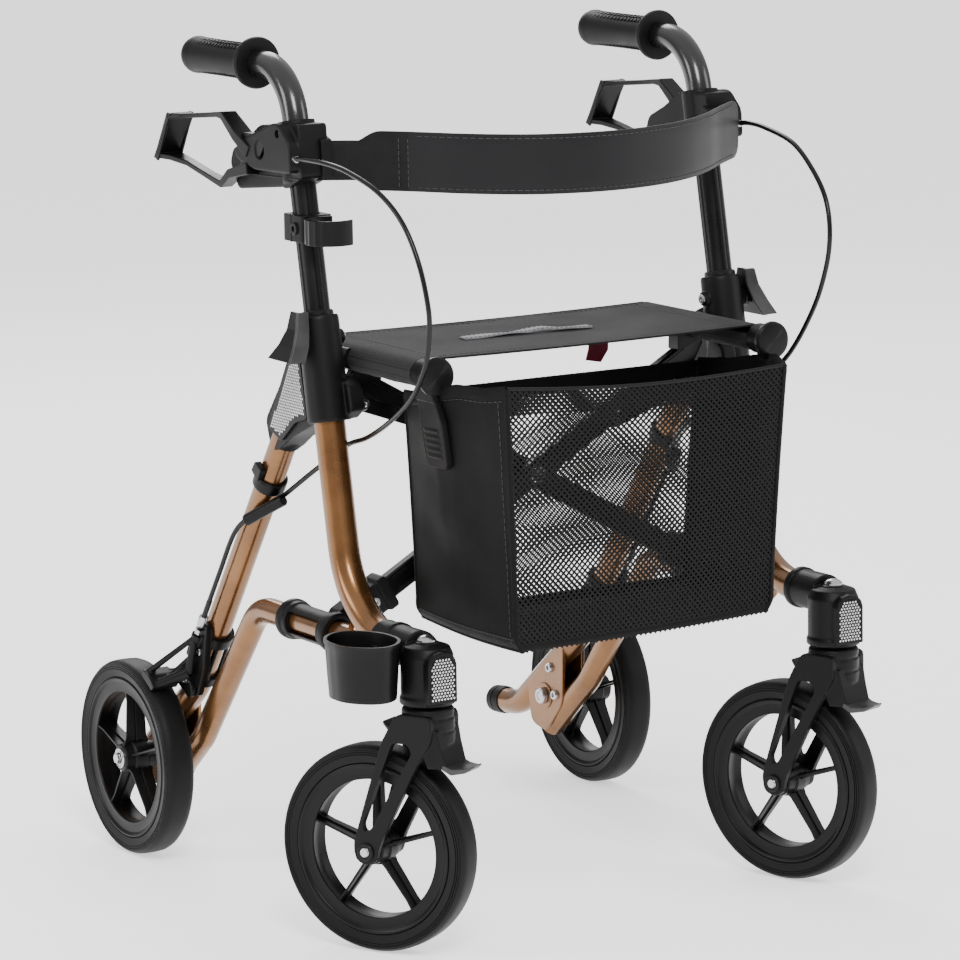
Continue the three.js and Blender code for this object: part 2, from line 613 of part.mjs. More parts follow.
// Each bar belongs to the side frame that its lower end turns on.
add(walker, 'right_brace_bar', braceBar(BAR.rightY), BLACK_METAL);
add(walker, 'right_brace_sleeve', braceSleeve(BAR.rightY), BLACK_PLASTIC);
add(walker, 'left_brace_bar', mirrored(braceBar(BAR.leftY)), BLACK_METAL);
add(walker, 'left_brace_sleeve', mirrored(braceSleeve(BAR.leftY)), BLACK_PLASTIC);
add(walker, 'right_upper_link', upperLink(BAR.leftY), BLACK_METAL);
add(walker, 'left_upper_link', mirrored(upperLink(BAR.rightY)), BLACK_METAL);

const casters = { left: [FRAME_X, CASTER.yawLeft], right: [-FRAME_X, CASTER.yawRight] };
for (const [side, [x, yaw]] of Object.entries(casters)) {
  const caster = new THREE.Group();
  caster.position.set(x, CASTER.y, 0);
  caster.rotation.z = THREE.MathUtils.degToRad(yaw);
  add(caster, `${side}_caster_fork`, casterFork(), BLACK_PLASTIC);
  add(caster, `${side}_front_tyre`, frontTyre(), RUBBER);
  add(caster, `${side}_front_wheel`, frontWheel(), BLACK_PLASTIC);
  add(caster, `${side}_front_axle`, frontAxle(), STEEL);
  walker.add(caster);
}

add(walker, 'brace_pivot_bolt', pivotBolt(), STEEL);
add(walker, 'seat_panel', seatPanel(), FABRIC);
add(walker, 'basket', basket(), FABRIC);
add(walker, 'back_strap', backStrap(), FABRIC);
add(walker, 'cane_clip', caneClip(), BLACK_PLASTIC);
add(walker, 'cane_cup', caneCup(), BLACK_PLASTIC);

// The origin is on the floor, under the middle of the walker's box.
walker.updateMatrixWorld(true);
const extent = new THREE.Box3().setFromObject(walker, true);
const middle = extent.getCenter(at(0, 0, 0));
walker.position.set(-middle.x, -middle.y, -extent.min.z);
walker.updateMatrixWorld(true);

export default walker;
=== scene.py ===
import math

import bmesh
import bpy
from mathutils import Matrix, Vector, noise

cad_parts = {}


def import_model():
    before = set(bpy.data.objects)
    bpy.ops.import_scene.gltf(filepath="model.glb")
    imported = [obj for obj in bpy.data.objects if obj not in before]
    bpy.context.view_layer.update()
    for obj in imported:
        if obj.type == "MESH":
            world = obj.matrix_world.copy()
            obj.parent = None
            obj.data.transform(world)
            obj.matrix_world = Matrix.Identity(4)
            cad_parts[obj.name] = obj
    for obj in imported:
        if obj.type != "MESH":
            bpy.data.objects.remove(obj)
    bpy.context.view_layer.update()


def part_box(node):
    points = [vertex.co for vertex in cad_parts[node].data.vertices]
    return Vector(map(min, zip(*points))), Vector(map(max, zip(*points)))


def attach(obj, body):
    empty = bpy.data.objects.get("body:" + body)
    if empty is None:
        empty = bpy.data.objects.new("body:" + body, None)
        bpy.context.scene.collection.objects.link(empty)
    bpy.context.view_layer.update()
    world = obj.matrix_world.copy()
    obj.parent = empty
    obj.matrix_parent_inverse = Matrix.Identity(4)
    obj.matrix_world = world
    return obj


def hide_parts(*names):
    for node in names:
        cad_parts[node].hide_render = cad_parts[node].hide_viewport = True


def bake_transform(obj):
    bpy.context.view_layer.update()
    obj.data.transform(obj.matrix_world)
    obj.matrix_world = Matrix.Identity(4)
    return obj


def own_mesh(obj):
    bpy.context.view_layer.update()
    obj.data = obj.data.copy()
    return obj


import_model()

# The design's own millimetres: x from the middle plane, y from the zero that puts the rear axle at
# REAR_AXLE_Y, z from the floor.
MM = 0.001
REAR_AXLE_Y = 232.7
RIGHT_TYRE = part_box("right_rear_tyre")
LEFT_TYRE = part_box("left_rear_tyre")
ORIGIN = Vector((
    (RIGHT_TYRE[0].x + LEFT_TYRE[1].x) / 2,
    (LEFT_TYRE[0].y + LEFT_TYRE[1].y) / 2 - REAR_AXLE_Y * MM,
    0.0,
))

FRAME_X = 231.0
POST_LEAN = 0.188
POST_FOOT = (-89.0, 583.0)
CASTER_Y = -282.7
TRAIL = 54.9
YAW = {"left": 19.1, "right": 29.45}
RAIL = (190.0, 542.0)
TUBE_Z = 281.0
PIVOT_Z = 412.0
AXLE_Z = 100.0
REAR_WHEEL_X = 274.4
KNUCKLE_Z = 291.0
CLAMP_Z = 565.0
GRIP_Z = 820.0
LINK_TOP = (205.0, 503.0)
BAR_Y = {"right": -101.0, "left": -86.0}


def world(point):
    """A point of the design, in the frame's metres."""
    return Vector(point) * MM + ORIGIN


def post_y(z):
    return POST_FOOT[0] + (z - POST_FOOT[1]) * POST_LEAN


def side_point(y, z):
    return Vector((FRAME_X, y, z))


# ---------- camera ----------

def add_camera():
    """Looks from the front right, a little from above, at the middle of the walker."""
    azimuth, elevation, roll = -0.54162, 0.17473, -0.016312
    distance = 4.9794
    target = world((0, 0, 390))
    right = Vector((math.cos(azimuth), math.sin(azimuth), 0.0))
    back = Vector((
        math.sin(azimuth) * math.cos(elevation),
        -math.cos(azimuth) * math.cos(elevation),
        math.sin(elevation),
    ))
    up = back.cross(right)
    side = right * math.cos(roll) + up * math.sin(roll)
    top = up * math.cos(roll) - right * math.sin(roll)
    data = bpy.data.cameras.new("camera")
    data.sensor_width = 36.0
    data.lens = 186.83
    data.clip_end = 100.0
    camera = bpy.data.objects.new("camera", data)
    place = Matrix((side, top, back)).transposed().to_4x4()
    place.translation = target + back * distance
    camera.matrix_world = place
    bpy.context.scene.collection.objects.link(camera)
    bpy.context.scene.camera = camera


add_camera()


# ---------- forms ----------

def frame_along(direction, reference=Vector((1, 0, 0))):
    """Two unit vectors square to a direction; the first leans to the reference."""
    direction = direction.normalized()
    across = reference - direction * reference.dot(direction)
    if across.length < 1e-4:
        across = Vector((0, 0, 1)) - direction * direction.z
    across.normalize()
    return across, direction.cross(across)


def circle(radius, count=32):
    angles = [2 * math.pi * k / count for k in range(count)]
    return [(radius * math.cos(angle), radius * math.sin(angle)) for angle in angles]


def faceted(radius):
    """A round section with eight soft flats between rounded corners."""
    flats, fillet = 8, 5
    section = []
    for k in range(flats):
        for j in range(fillet):
            part = (j / (fillet - 1) - 0.5) * 0.72
            angle = 2 * math.pi * (k + 0.5 + part) / flats
            reach = radius * (1.0 - 0.10 * part ** 2)
            section.append((reach * math.cos(angle), reach * math.sin(angle)))
    return section


def bent_line(corners, radius, step=math.radians(5)):
    """Straight runs joined by arcs: a list of (point, direction)."""
    stations = [(corners[0], (corners[1] - corners[0]).normalized())]
    for before, corner, after in zip(corners, corners[1:], corners[2:]):
        come = (corner - before).normalized()
        go = (after - corner).normalized()
        turn = come.angle(go)
        inward = (go - come * come.dot(go)).normalized()
        start = corner - come * radius * math.tan(turn / 2)
        count = max(4, int(turn / step))
        for k in range(count + 1):
            angle = turn * k / count
            spot = start + come * radius * math.sin(angle) + inward * radius * (1 - math.cos(angle))
            stations.append((spot, come * math.cos(angle) + inward * math.sin(angle)))
    stations.append((corners[-1], (corners[-1] - corners[-2]).normalized()))
    return stations


def smooth_line(points, per_span=6):
    """A Catmull-Rom line through the points: a list of (point, direction)."""
    points = [Vector(p) for p in points]
    padded = [points[0] * 2 - points[1], *points, points[-1] * 2 - points[-2]]
    spots = []
    for a, b, c, d in zip(padded, padded[1:], padded[2:], padded[3:]):
        for k in range(per_span):
            t = k / per_span
            spots.append(0.5 * (2 * b + (c - a) * t + (2 * a - 5 * b + 4 * c - d) * t ** 2
                                + (3 * b - a - 3 * c + d) * t ** 3))
    spots.append(points[-1])
    ways = [(spots[min(i + 1, len(spots) - 1)] - spots[max(i - 1, 0)]).normalized()
            for i in range(len(spots))]
    return list(zip(spots, ways))


class Form:
    """Closed shells in the design's millimetres, gathered before they become one mesh."""

    def __init__(self):
        self.points = []
        self.faces = []

    def shell(self, points, faces):
        first = len(self.points)
        self.points += [Vector(p) for p in points]
        self.faces += [[first + i for i in face] for face in faces]
        return self

    def prism(self, outline, axis, low, high):
        """An outline pulled along an axis: (y, z) along x, (x, z) along y, (x, y) along z."""
        place = {
            "x": lambda u, v, h: (h, u, v),
            "y": lambda u, v, h: (u, h, v),
            "z": lambda u, v, h: (u, v, h),
        }[axis]
        count = len(outline)
        points = [place(u, v, h) for h in (low, high) for u, v in outline]
        faces = [[i, (i + 1) % count, count + (i + 1) % count, count + i] for i in range(count)]
        faces += [list(range(count))[::-1], list(range(count, 2 * count))]
        return self.shell(points, faces)

    def slab(self, low, high):
        outline = [(low[0], low[1]), (high[0], low[1]), (high[0], high[1]), (low[0], high[1])]
        return self.prism(outline, "z", low[2], high[2])

    def loft(self, rings, closed=False):
        """Rings of points with equal counts, joined in order; the ends are capped unless closed."""
        count = len(rings[0])
        points = [p for ring in rings for p in ring]
        faces = []
        spans = len(rings) if closed else len(rings) - 1
        for r in range(spans):
            here, there = r * count, ((r + 1) % len(rings)) * count
            for i in range(count):
                j = (i + 1) % count
                faces.append([here + i, here + j, there + j, there + i])
        if not closed:
            faces += [list(range(count))[::-1], list(range(len(points) - count, len(points)))]
        return self.shell(points, faces)

    def sweep(self, stations, section, reference=Vector((1, 0, 0))):
        rings = []
        for spot, way in stations:
            across, over = frame_along(way, reference)
            rings.append([spot + across * u + over * v for u, v in section])
        return self.loft(rings)

    def rod(self, start, end, radius, end_radius=None, sides=32):
        start, end = Vector(start), Vector(end)
        way = (end - start).normalized()
        across, over = frame_along(way)
        rings = []
        for spot, r in ((start, radius), (end, radius if end_radius is None else end_radius)):
            rings.append([spot + across * u * r + over * v * r for u, v in circle(1.0, sides)])
        return self.loft(rings)

    def turned(self, profile, origin, axis, sides=48, ring=False):
        """A profile of (radius, height) turned about an axis; ring joins its ends together."""
        axis = Vector(axis).normalized()
        across, over = frame_along(axis)
        rings = []
        for radius, height in profile:
            centre = Vector(origin) + axis * height
            reach = max(radius, 0.02)
            rings.append([centre + across * u * reach + over * v * reach for u, v in circle(1.0, sides)])
        return self.loft(rings, closed=ring)

    def merged(self, *others):
        for other in others:
            self.shell(other.points, other.faces)
        return self

    def changed(self, move):
        form = Form()
        form.points = [move(p) for p in self.points]
        form.faces = [list(face) for face in self.faces]
        return form

    def mirrored(self):
        form = self.changed(lambda p: Vector((-p.x, p.y, p.z)))
        form.faces = [face[::-1] for face in form.faces]
        return form


# ---------- materials ----------

def new_material(name):
    material = bpy.data.materials.new(name)
    material.use_nodes = True
    return material, material.node_tree.nodes, material.node_tree.links


def object_coordinates(nodes, links, stretch=(1, 1, 1)):
    coordinates = nodes.new("ShaderNodeTexCoord")
    mapping = nodes.new("ShaderNodeMapping")
    mapping.inputs["Scale"].default_value = stretch
    links.new(coordinates.outputs["Object"], mapping.inputs["Vector"])
    return mapping.outputs["Vector"]


def noise_value(nodes, links, vector, scale, detail=3.0):
    texture = nodes.new("ShaderNodeTexNoise")
    texture.inputs["Scale"].default_value = scale
    texture.inputs["Detail"].default_value = detail
    links.new(vector, texture.inputs["Vector"])
    return texture.outputs["Fac"]


def spread(nodes, links, value, low, high, source=(0.3, 0.7)):
    ranged = nodes.new("ShaderNodeMapRange")
    ranged.inputs["From Min"].default_value = source[0]
    ranged.inputs["From Max"].default_value = source[1]
    ranged.inputs["To Min"].default_value = low
    ranged.inputs["To Max"].default_value = high
    links.new(value, ranged.inputs["Value"])
    return ranged.outputs["Result"]


def blend_colours(nodes, links, factor, first, second):
    mix = nodes.new("ShaderNodeMix")
    mix.data_type = "RGBA"
    links.new(factor, mix.inputs["Factor"])
    for socket, colour in ((mix.inputs[6], first), (mix.inputs[7], second)):
        if isinstance(colour, (tuple, list)):
            socket.default_value = (*colour, 1.0)
        else:
            links.new(colour, socket)
    return mix.outputs[2]


def add_bump(nodes, links, shader, height, strength, distance):
    bump = nodes.new("ShaderNodeBump")
    bump.inputs["Strength"].default_value = strength
    bump.inputs["Distance"].default_value = distance
    links.new(height, bump.inputs["Height"])
    links.new(bump.outputs["Normal"], shader.inputs["Normal"])


def set_sockets(shader, **values):
    for name, value in values.items():
        shader.inputs[name.replace("_", " ")].default_value = value


def surface(name, dark, light, roughness, scale=900.0, bump=0.15, distance=0.0002, edge=None, patch=18.0,
            **sockets):
    """A material with a fine grain, broad changes of colour and roughness, and worn edges."""
    material, nodes, links = new_material(name)
    shader = nodes["Principled BSDF"]
    set_sockets(shader, **sockets)
    vector = object_coordinates(nodes, links)
    broad = noise_value(nodes, links, vector, patch, 4.0)
    grain = noise_value(nodes, links, vector, scale, 2.0)
    colour = blend_colours(nodes, links, spread(nodes, links, broad, 0.0, 1.0), dark, light)
    if edge:
        geometry = nodes.new("ShaderNodeNewGeometry")
        rim = spread(nodes, links, geometry.outputs["Pointiness"], 0.0, 0.8, (0.53, 0.62))
        colour = blend_colours(nodes, links, rim, colour, edge)
    links.new(colour, shader.inputs["Base Color"])
    links.new(spread(nodes, links, broad, *roughness), shader.inputs["Roughness"])
    add_bump(nodes, links, shader, grain, bump, distance)
    return material


def woven(name, dark, light, roughness, pitch, strength, streak=0.5, across=("X", "Y"), **sockets):
    """Cloth with crossing threads: pitch is the threads' spacing in metres."""
    material, nodes, links = new_material(name)
    shader = nodes["Principled BSDF"]
    set_sockets(shader, **sockets)
    vector = object_coordinates(nodes, links)
    waves = []
    for direction in across:
        wave = nodes.new("ShaderNodeTexWave")
        wave.bands_direction = direction
        wave.inputs["Scale"].default_value = math.pi / (10 * pitch)
        wave.inputs["Distortion"].default_value = 0.6
        wave.inputs["Detail"].default_value = 1.0
        links.new(vector, wave.inputs["Vector"])
        waves.append(wave.outputs["Fac"])
    threads = nodes.new("ShaderNodeMath")
    threads.operation = "MULTIPLY"
    links.new(waves[0], threads.inputs[0])
    links.new(waves[1], threads.inputs[1])
    streaks = noise_value(nodes, links, object_coordinates(nodes, links, (0.08, 1.0, 1.0)), 260.0, 3.0)
    tone = nodes.new("ShaderNodeMix")
    tone.data_type = "FLOAT"
    tone.inputs["Factor"].default_value = streak
    links.new(threads.outputs[0], tone.inputs[2])
    links.new(spread(nodes, links, streaks, 0.0, 1.0), tone.inputs[3])
    links.new(blend_colours(nodes, links, tone.outputs[0], dark, light), shader.inputs["Base Color"])
    broad = noise_value(nodes, links, vector, 14.0)
    links.new(spread(nodes, links, broad, *roughness), shader.inputs["Roughness"])
    add_bump(nodes, links, shader, threads.outputs[0], strength, 0.0004)
    return material


BRONZE = surface("bronze_lacquer", (0.165, 0.070, 0.021), (0.235, 0.106, 0.034), (0.24, 0.33), scale=2600.0,
                 bump=0.05, distance=0.0001, patch=30.0, Metallic=0.85, Coat_Weight=0.5,
                 Coat_Roughness=0.14)
PLASTIC = surface("black_moulding", (0.0027, 0.0026, 0.0026), (0.0041, 0.0039, 0.0040), (0.4, 0.52),
                  scale=1500.0,
                  bump=0.22, distance=0.00012, edge=(0.0126, 0.0122, 0.0122), Specular_IOR_Level=0.16)
SATIN = surface("black_satin_moulding", (0.0023, 0.0022, 0.0022), (0.0036, 0.0034, 0.0034), (0.3, 0.42),
                scale=1700.0, bump=0.12, distance=0.0001, edge=(0.0118, 0.0113, 0.0113),
                Specular_IOR_Level=0.17)
GLOSS = surface("gloss_black_lacquer", (0.0025, 0.0026, 0.0030), (0.0036, 0.0037, 0.0041), (0.2, 0.27),
                scale=2200.0, bump=0.03, distance=0.0001, patch=40.0, Coat_Weight=0.5, Coat_Roughness=0.16)
BLACK_METAL = surface("black_anodised", (0.0021, 0.0021, 0.0022), (0.0034, 0.0033, 0.0034), (0.26, 0.36),
                      scale=2400.0, bump=0.05, distance=0.0001, Specular_IOR_Level=0.25)
RUBBER = surface("grip_rubber", (0.0027, 0.0025, 0.0026), (0.0044, 0.0041, 0.0043), (0.46, 0.6),
                 scale=1300.0,
                 bump=0.25, distance=0.00015, edge=(0.0092, 0.0088, 0.0088), Specular_IOR_Level=0.17)
TYRE = surface("tyre_rubber", (0.0025, 0.0024, 0.0024), (0.0039, 0.0037, 0.0036), (0.42, 0.56), scale=900.0,
               bump=0.2, distance=0.0002, edge=(0.0084, 0.0082, 0.0080), Specular_IOR_Level=0.17)
# Painted highlight: a lighter copy of the black moulding for the clamp wing's front strip and the caster's
# beak, where the light from the front falls on them.
PAINTED_HIGHLIGHT_MOULDING = surface("painted_highlight_moulding", (0.0126, 0.0122, 0.0126), (0.055, 0.053, 0.054), (0.34, 0.46),
               scale=800.0, bump=0.2,
               distance=0.0002, edge=(0.09, 0.088, 0.09), Specular_IOR_Level=0.25)
STEEL = surface("bright_steel", (0.42, 0.42, 0.43), (0.55, 0.55, 0.56), (0.18, 0.3), scale=1800.0,
                bump=0.05,
                distance=0.0001, Metallic=1.0)
LENS = surface("reflector_prisms", (0.52, 0.51, 0.53), (0.70, 0.69, 0.71), (0.12, 0.24), scale=900.0,
               bump=0.2,
               distance=0.0001, Metallic=0.55, Coat_Weight=0.4, Coat_Roughness=0.1)
CABLE = surface("cable_jacket", (0.0025, 0.0025, 0.0026), (0.0038, 0.0038, 0.0039), (0.2, 0.28),
                scale=2600.0,
                bump=0.08, distance=0.0001, Specular_IOR_Level=0.22, Coat_Weight=0.08, Coat_Roughness=0.2)
LEATHER = surface("strap_leather", (0.0053, 0.0046, 0.0055), (0.0078, 0.0068, 0.0080), (0.46, 0.58),
                  scale=2300.0,
                  bump=0.3, distance=0.0001, patch=9.0, Specular_IOR_Level=0.19, Sheen_Weight=0.05,
                  Sheen_Roughness=0.5)
LEATHER_END = surface("strap_end_leather", (0.0038, 0.0034, 0.0034), (0.0076, 0.0068, 0.0066), (0.5, 0.62),
                      scale=700.0, bump=0.55, distance=0.0003, patch=60.0, Specular_IOR_Level=0.16)
SEAT_CLOTH = woven("seat_cloth", (0.0055, 0.0050, 0.0057), (0.0130, 0.0121, 0.0137), (0.72, 0.86),
                   0.0011, 0.5,
                   Sheen_Weight=0.08, Sheen_Roughness=0.4, Specular_IOR_Level=0.19)
NYLON = woven("basket_nylon", (0.0016, 0.0015, 0.0015), (0.0030, 0.0029, 0.0029), (0.55, 0.7), 0.0007, 0.3,
              streak=0.3, across=("Y", "Z"), Sheen_Weight=0.01, Sheen_Roughness=0.5,
              Specular_IOR_Level=0.15)
NET = surface("net_yarn", (0.0023, 0.0022, 0.0022), (0.0050, 0.0050, 0.0050), (0.32, 0.5), scale=2400.0,
              bump=0.4, distance=0.0002, patch=600.0, Specular_IOR_Level=0.17)
WEBBING = woven("webbing_cloth", (0.13, 0.13, 0.14), (0.36, 0.36, 0.38), (0.5, 0.7), 0.0016, 0.8,
                streak=0.25,
                Sheen_Weight=0.2, Sheen_Roughness=0.4)
RED = surface("red_ribbon", (0.24, 0.008, 0.030), (0.36, 0.014, 0.045), (0.4, 0.55), scale=900.0, bump=0.3)
THREAD = surface("sewing_thread", (0.018, 0.0165, 0.018), (0.034, 0.032, 0.034), (0.5, 0.65), scale=3000.0)


# ---------- making pieces ----------

def mesh_object(name, form):
    mesh = bpy.data.meshes.new(name)
    mesh.from_pydata([world(p) for p in form.points], [], form.faces)
    shape = bmesh.new()
    shape.from_mesh(mesh)
    bmesh.ops.recalc_face_normals(shape, faces=shape.faces)
    shape.to_mesh(mesh)
    shape.free()
    obj = bpy.data.objects.new(name, mesh)
    bpy.context.scene.collection.objects.link(obj)
    return obj


def apply_modifiers(obj):
    graph = bpy.context.evaluated_depsgraph_get()
    final = bpy.data.meshes.new_from_object(obj.evaluated_get(graph))
    obj.modifiers.clear()
    obj.data = final


def make(name, form, material, body, stands_for=(), holes=None, voxel=0.0, soften=0, bevel=0.0, rounds=3,
         sharp=35.0, thick=0.0):
    """One piece: its form is cut, remeshed or bevelled as asked, and rides on its body.

    A piece with no body is handed back unattached to the caller.
    """
    obj = mesh_object(name, form)
    cutter = None
    if voxel:
        remesh = obj.modifiers.new("remesh", "REMESH")
        remesh.mode = "VOXEL"
        remesh.voxel_size = voxel * MM
    if soften:
        smoothing = obj.modifiers.new("soften", "SMOOTH")
        smoothing.factor = 0.5
        smoothing.iterations = soften
    if thick:
        solidify = obj.modifiers.new("thick", "SOLIDIFY")
        solidify.thickness = thick * MM
        solidify.offset = 0.0
    if holes:
        cutter = mesh_object(name + "_holes", holes)
        cutting = obj.modifiers.new("cut", "BOOLEAN")
        cutting.operation = "DIFFERENCE"
        cutting.solver = "EXACT"
        cutting.use_self = True
        cutting.object = cutter
    if bevel:
        rounding = obj.modifiers.new("bevel", "BEVEL")
        rounding.width = bevel * MM
        rounding.segments = rounds
        rounding.limit_method = "ANGLE"
        rounding.angle_limit = math.radians(28)
        rounding.harden_normals = True
    obj.data.shade_smooth()
    if not bevel:
        obj.data.set_sharp_from_angle(angle=math.radians(sharp))
    apply_modifiers(obj)
    if not bevel:
        obj.data.shade_smooth()
        obj.data.set_sharp_from_angle(angle=math.radians(sharp))
    if cutter:
        bpy.data.objects.remove(cutter)
    obj.data.materials.clear()
    obj.data.materials.append(material)
    if body:
        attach(obj, body)
    if stands_for:
        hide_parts(*stands_for)
    return obj


def on_side(form, side):
    """What is drawn for the left, or its mirror image for the right."""
    return form if side == "left" else form.mirrored()


def both(name, form, material, body, stands_for=(), holes=None, **options):
    """The left piece and its mirror image on the right; body and nodes are named without their side."""
    for side in ("left", "right"):
        own_holes = on_side(holes, side) if holes else None
        make(f"{side}_{name}", on_side(form, side), material, f"{side}_{body}",
             [f"{side}_{node}" for node in stands_for], own_holes, **options)


def rounded(outline, radius):
    """An outline with its corners rounded."""
    count = 4
    result = []
    size = len(outline)
    for i, corner in enumerate(outline):
        corner = Vector(corner)
        before = Vector(outline[i - 1]) - corner
        after = Vector(outline[(i + 1) % size]) - corner
        back = min(radius, before.length * 0.45, after.length * 0.45)
        start = corner + before.normalized() * back
        end = corner + after.normalized() * back
        for k in range(count + 1):
            t = k / count
            spot = start * (1 - t) ** 2 + corner * 2 * t * (1 - t) + end * t ** 2
            result.append((spot.x, spot.y))
    return result


def hex_head(form, centre, axis, radius, height, recess=True):
    """A screw's head, with a round recess unless it is closed."""
    centre, axis = Vector(centre), Vector(axis).normalized()
    profile = [(0, 0), (radius, 0), (radius, height * 0.75), (radius * 0.88, height)]
    if recess:
        profile += [(radius * 0.5, height), (radius * 0.46, height * 0.45), (0, height * 0.4)]
    else:
        profile += [(0, height)]
    return form.turned(profile, centre, axis, 24)


def inside(outline, u, v):
    within = False
    for (u0, v0), (u1, v1) in zip(outline, outline[1:] + outline[:1]):
        if (v0 > v) != (v1 > v) and u < u0 + (u1 - u0) * (v - v0) / (v1 - v0):
            within = not within
    return within


def prisms(outline, place):
    """The reflector's hexagonal cells: low pyramids that fill an outline; place takes (u, v, height)."""
    pitch, lift = 3.3, 0.8
    row_share = 0.866
    form = Form()
    low_u, low_v = min(u for u, _ in outline), min(v for _, v in outline)
    columns = int((max(u for u, _ in outline) - low_u) / pitch) + 2
    rows = int((max(v for _, v in outline) - low_v) / (pitch * row_share)) + 2
    for j in range(rows):
        for i in range(columns):
            u, v = low_u + (i + 0.5 * (j % 2)) * pitch, low_v + j * row_share * pitch
            corners = [(u + pitch * 0.52 * math.cos(a), v + pitch * 0.52 * math.sin(a))
                       for a in (math.pi * (2 * k + 1) / 6 for k in range(6))]
            if all(inside(outline, *corner) for corner in corners):
                points = [place(*corner, 0.0) for corner in corners] + [place(u, v, lift)]
                form.shell(points, [[k, (k + 1) % 6, 6] for k in range(6)] + [[5, 4, 3, 2, 1, 0]])
    return form


# ---------- side frame ----------

REAR_LEG = [side_point(*p) for p in ((-48, 500), (178, 177), (303, 77), (340, 74))]
LOWER_TUBE = [side_point(*p) for p in ((-172, TUBE_Z), (40, TUBE_Z), (166, 127), (242, 64))]
FRONT_LEG = [side_point(post_y(578), 578), side_point(post_y(KNUCKLE_Z), KNUCKLE_Z),
             side_point(-254, KNUCKLE_Z)]
LEG_WAY = (REAR_LEG[1] - REAR_LEG[0]).normalized()


def leg_point(z):
    """The rear leg's centre line at a height, on its upper straight run."""
    return REAR_LEG[0] + LEG_WAY * ((z - REAR_LEG[0].z) / LEG_WAY.z)


def post_point(z):
    return side_point(post_y(z), z)


def side_frame():
    both("front_leg_tube", Form().sweep(bent_line(FRONT_LEG, 95), faceted(15.2)), BRONZE, "frame",
         ["front_leg"], sharp=60)
    both("rear_leg_tube", Form().sweep(bent_line(REAR_LEG, 60), faceted(13.6)), BRONZE, "frame",
         ["rear_leg"], sharp=60)
    both("lower_frame_tube", Form().sweep(bent_line(LOWER_TUBE, 50), faceted(12.6)), BRONZE, "frame",
         ["lower_tube"], sharp=60)
    # The bracket between the two tubes, with a rolled rim around the axle.
    plate = Form()
    outline = rounded([(196, 168), (199, 96), (232, 60), (262, 66), (268, 106), (232, 140)], 10)
    for x in (217.0, 241.0):
        plate.prism(outline, "x", x, x + 4)
    plate.turned([(8, -15.5), (14, -15.5), (14, 15.5), (8, 15.5)], (FRAME_X, REAR_AXLE_Y, AXLE_Z),
                 (1, 0, 0), 32,
                 ring=True)
    both("axle_plates", plate, BRONZE, "frame", ["axle_bracket"], bevel=1.0)
    bolts = Form()
    for y, z in ((212, 104), (222, 132)):
        hex_head(bolts, (217.2, y, z), (-1, 0, 0), 5.2, 3.6)
        hex_head(bolts, (244.8, y, z), (1, 0, 0), 5.2, 3.6)
    both("bracket_screws", bolts, STEEL, "frame")
    # Weld bead where the lower tube meets the front leg.
    bead = Form()
    centre = side_point(-166, 290)
    bead.turned([(12.0, -2), (16.4, -1.5), (16.8, 1.5), (12.0, 2.5)], centre, (0, -0.82, 0.57), 32,
                ring=True)
    both("weld_bead", bead, BRONZE, "frame")
    plug = Form()
    end, way = REAR_LEG[-1], (REAR_LEG[-1] - REAR_LEG[-2]).normalized()
    profile = [(0, -8), (12.5, -8), (14.6, -7), (15.2, 0), (15.2, 3), (14.2, 3.6), (14.2, 5), (15.0, 5.6),
               (14.6, 14.5), (12.5, 17), (0, 17)]
    plug.turned(profile, end, way, 40)
    both("tip_cap", plug, RUBBER, "frame", ["tip_plug"])


def joint_housings():
    body = Form()
    body.turned([(0, -6), (20.5, -6), (21.0, -4), (20.6, 40), (20.0, 92), (19.2, 96), (0, 96)],
                post_point(492), (0, POST_LEAN, 1), 48)
    web = rounded([(-106, 566), (-60, 548), (-2, 476), (-12, 446), (-30, 450), (-52, 464), (-104, 486)], 7)
    body.prism(web, "x", FRAME_X - 13.5, FRAME_X + 12.5)
    section = [(max(-17.0, min(u, 11.5)), v) for u, v in circle(17.2, 40)]
    body.sweep([(leg_point(506), LEG_WAY), (leg_point(456), LEG_WAY)], section)
    wing = rounded([(-134, 500), (-128, 522), (-104, 530), (-96, 492), (-118, 488)], 5)
    body.prism(wing, "x", 206, 222)
    body.rod((FRAME_X - 24, post_y(CLAMP_Z), CLAMP_Z), (FRAME_X - 10, post_y(CLAMP_Z), CLAMP_Z), 7.5)
    body.rod((FRAME_X + 16, post_y(CLAMP_Z), CLAMP_Z), (FRAME_X + 22.5, post_y(CLAMP_Z), CLAMP_Z), 10)
    holes = Form().rod(post_point(560), post_point(600), 13.4)
    both("joint_moulding", body, PLASTIC, "frame", ["joint_housing"], holes, voxel=1.1, soften=5)
    rim = rounded([(-58, 548), (-78, 549), (-90, 488), (-66, 481), (-37, 459), (-11, 470)], 4)
    both("side_reflector_rim", Form().prism(rim, "x", 240, 246.4), SATIN, "frame", bevel=0.8)
    lens = [(-61.5, 544), (-75, 545.5), (-86.5, 491), (-65, 485), (-37, 463.5), (-15.5, 471.5)]
    both("side_reflector", prisms(lens, lambda u, v, h: (246.3 + h, u, v)), LENS, "frame", sharp=5)
    screws = Form()
    hex_head(screws, (FRAME_X - 23.5, post_y(CLAMP_Z), CLAMP_Z), (-1, 0, 0), 5.0, 2.4)
    hex_head(screws, (LINK_TOP[0], -127.5, LINK_TOP[1]), (0, -1, 0), 5.6, 3.0)
    both("housing_screws", screws, STEEL, "frame")
    ring = Form().turned([(13.3, 0), (15.6, 0), (15.6, 3), (14.4, 4.6), (13.3, 4.6)], post_point(586.5),
                         (0, POST_LEAN, 1), 48, ring=True)
    both("post_bush", ring, SATIN, "frame")


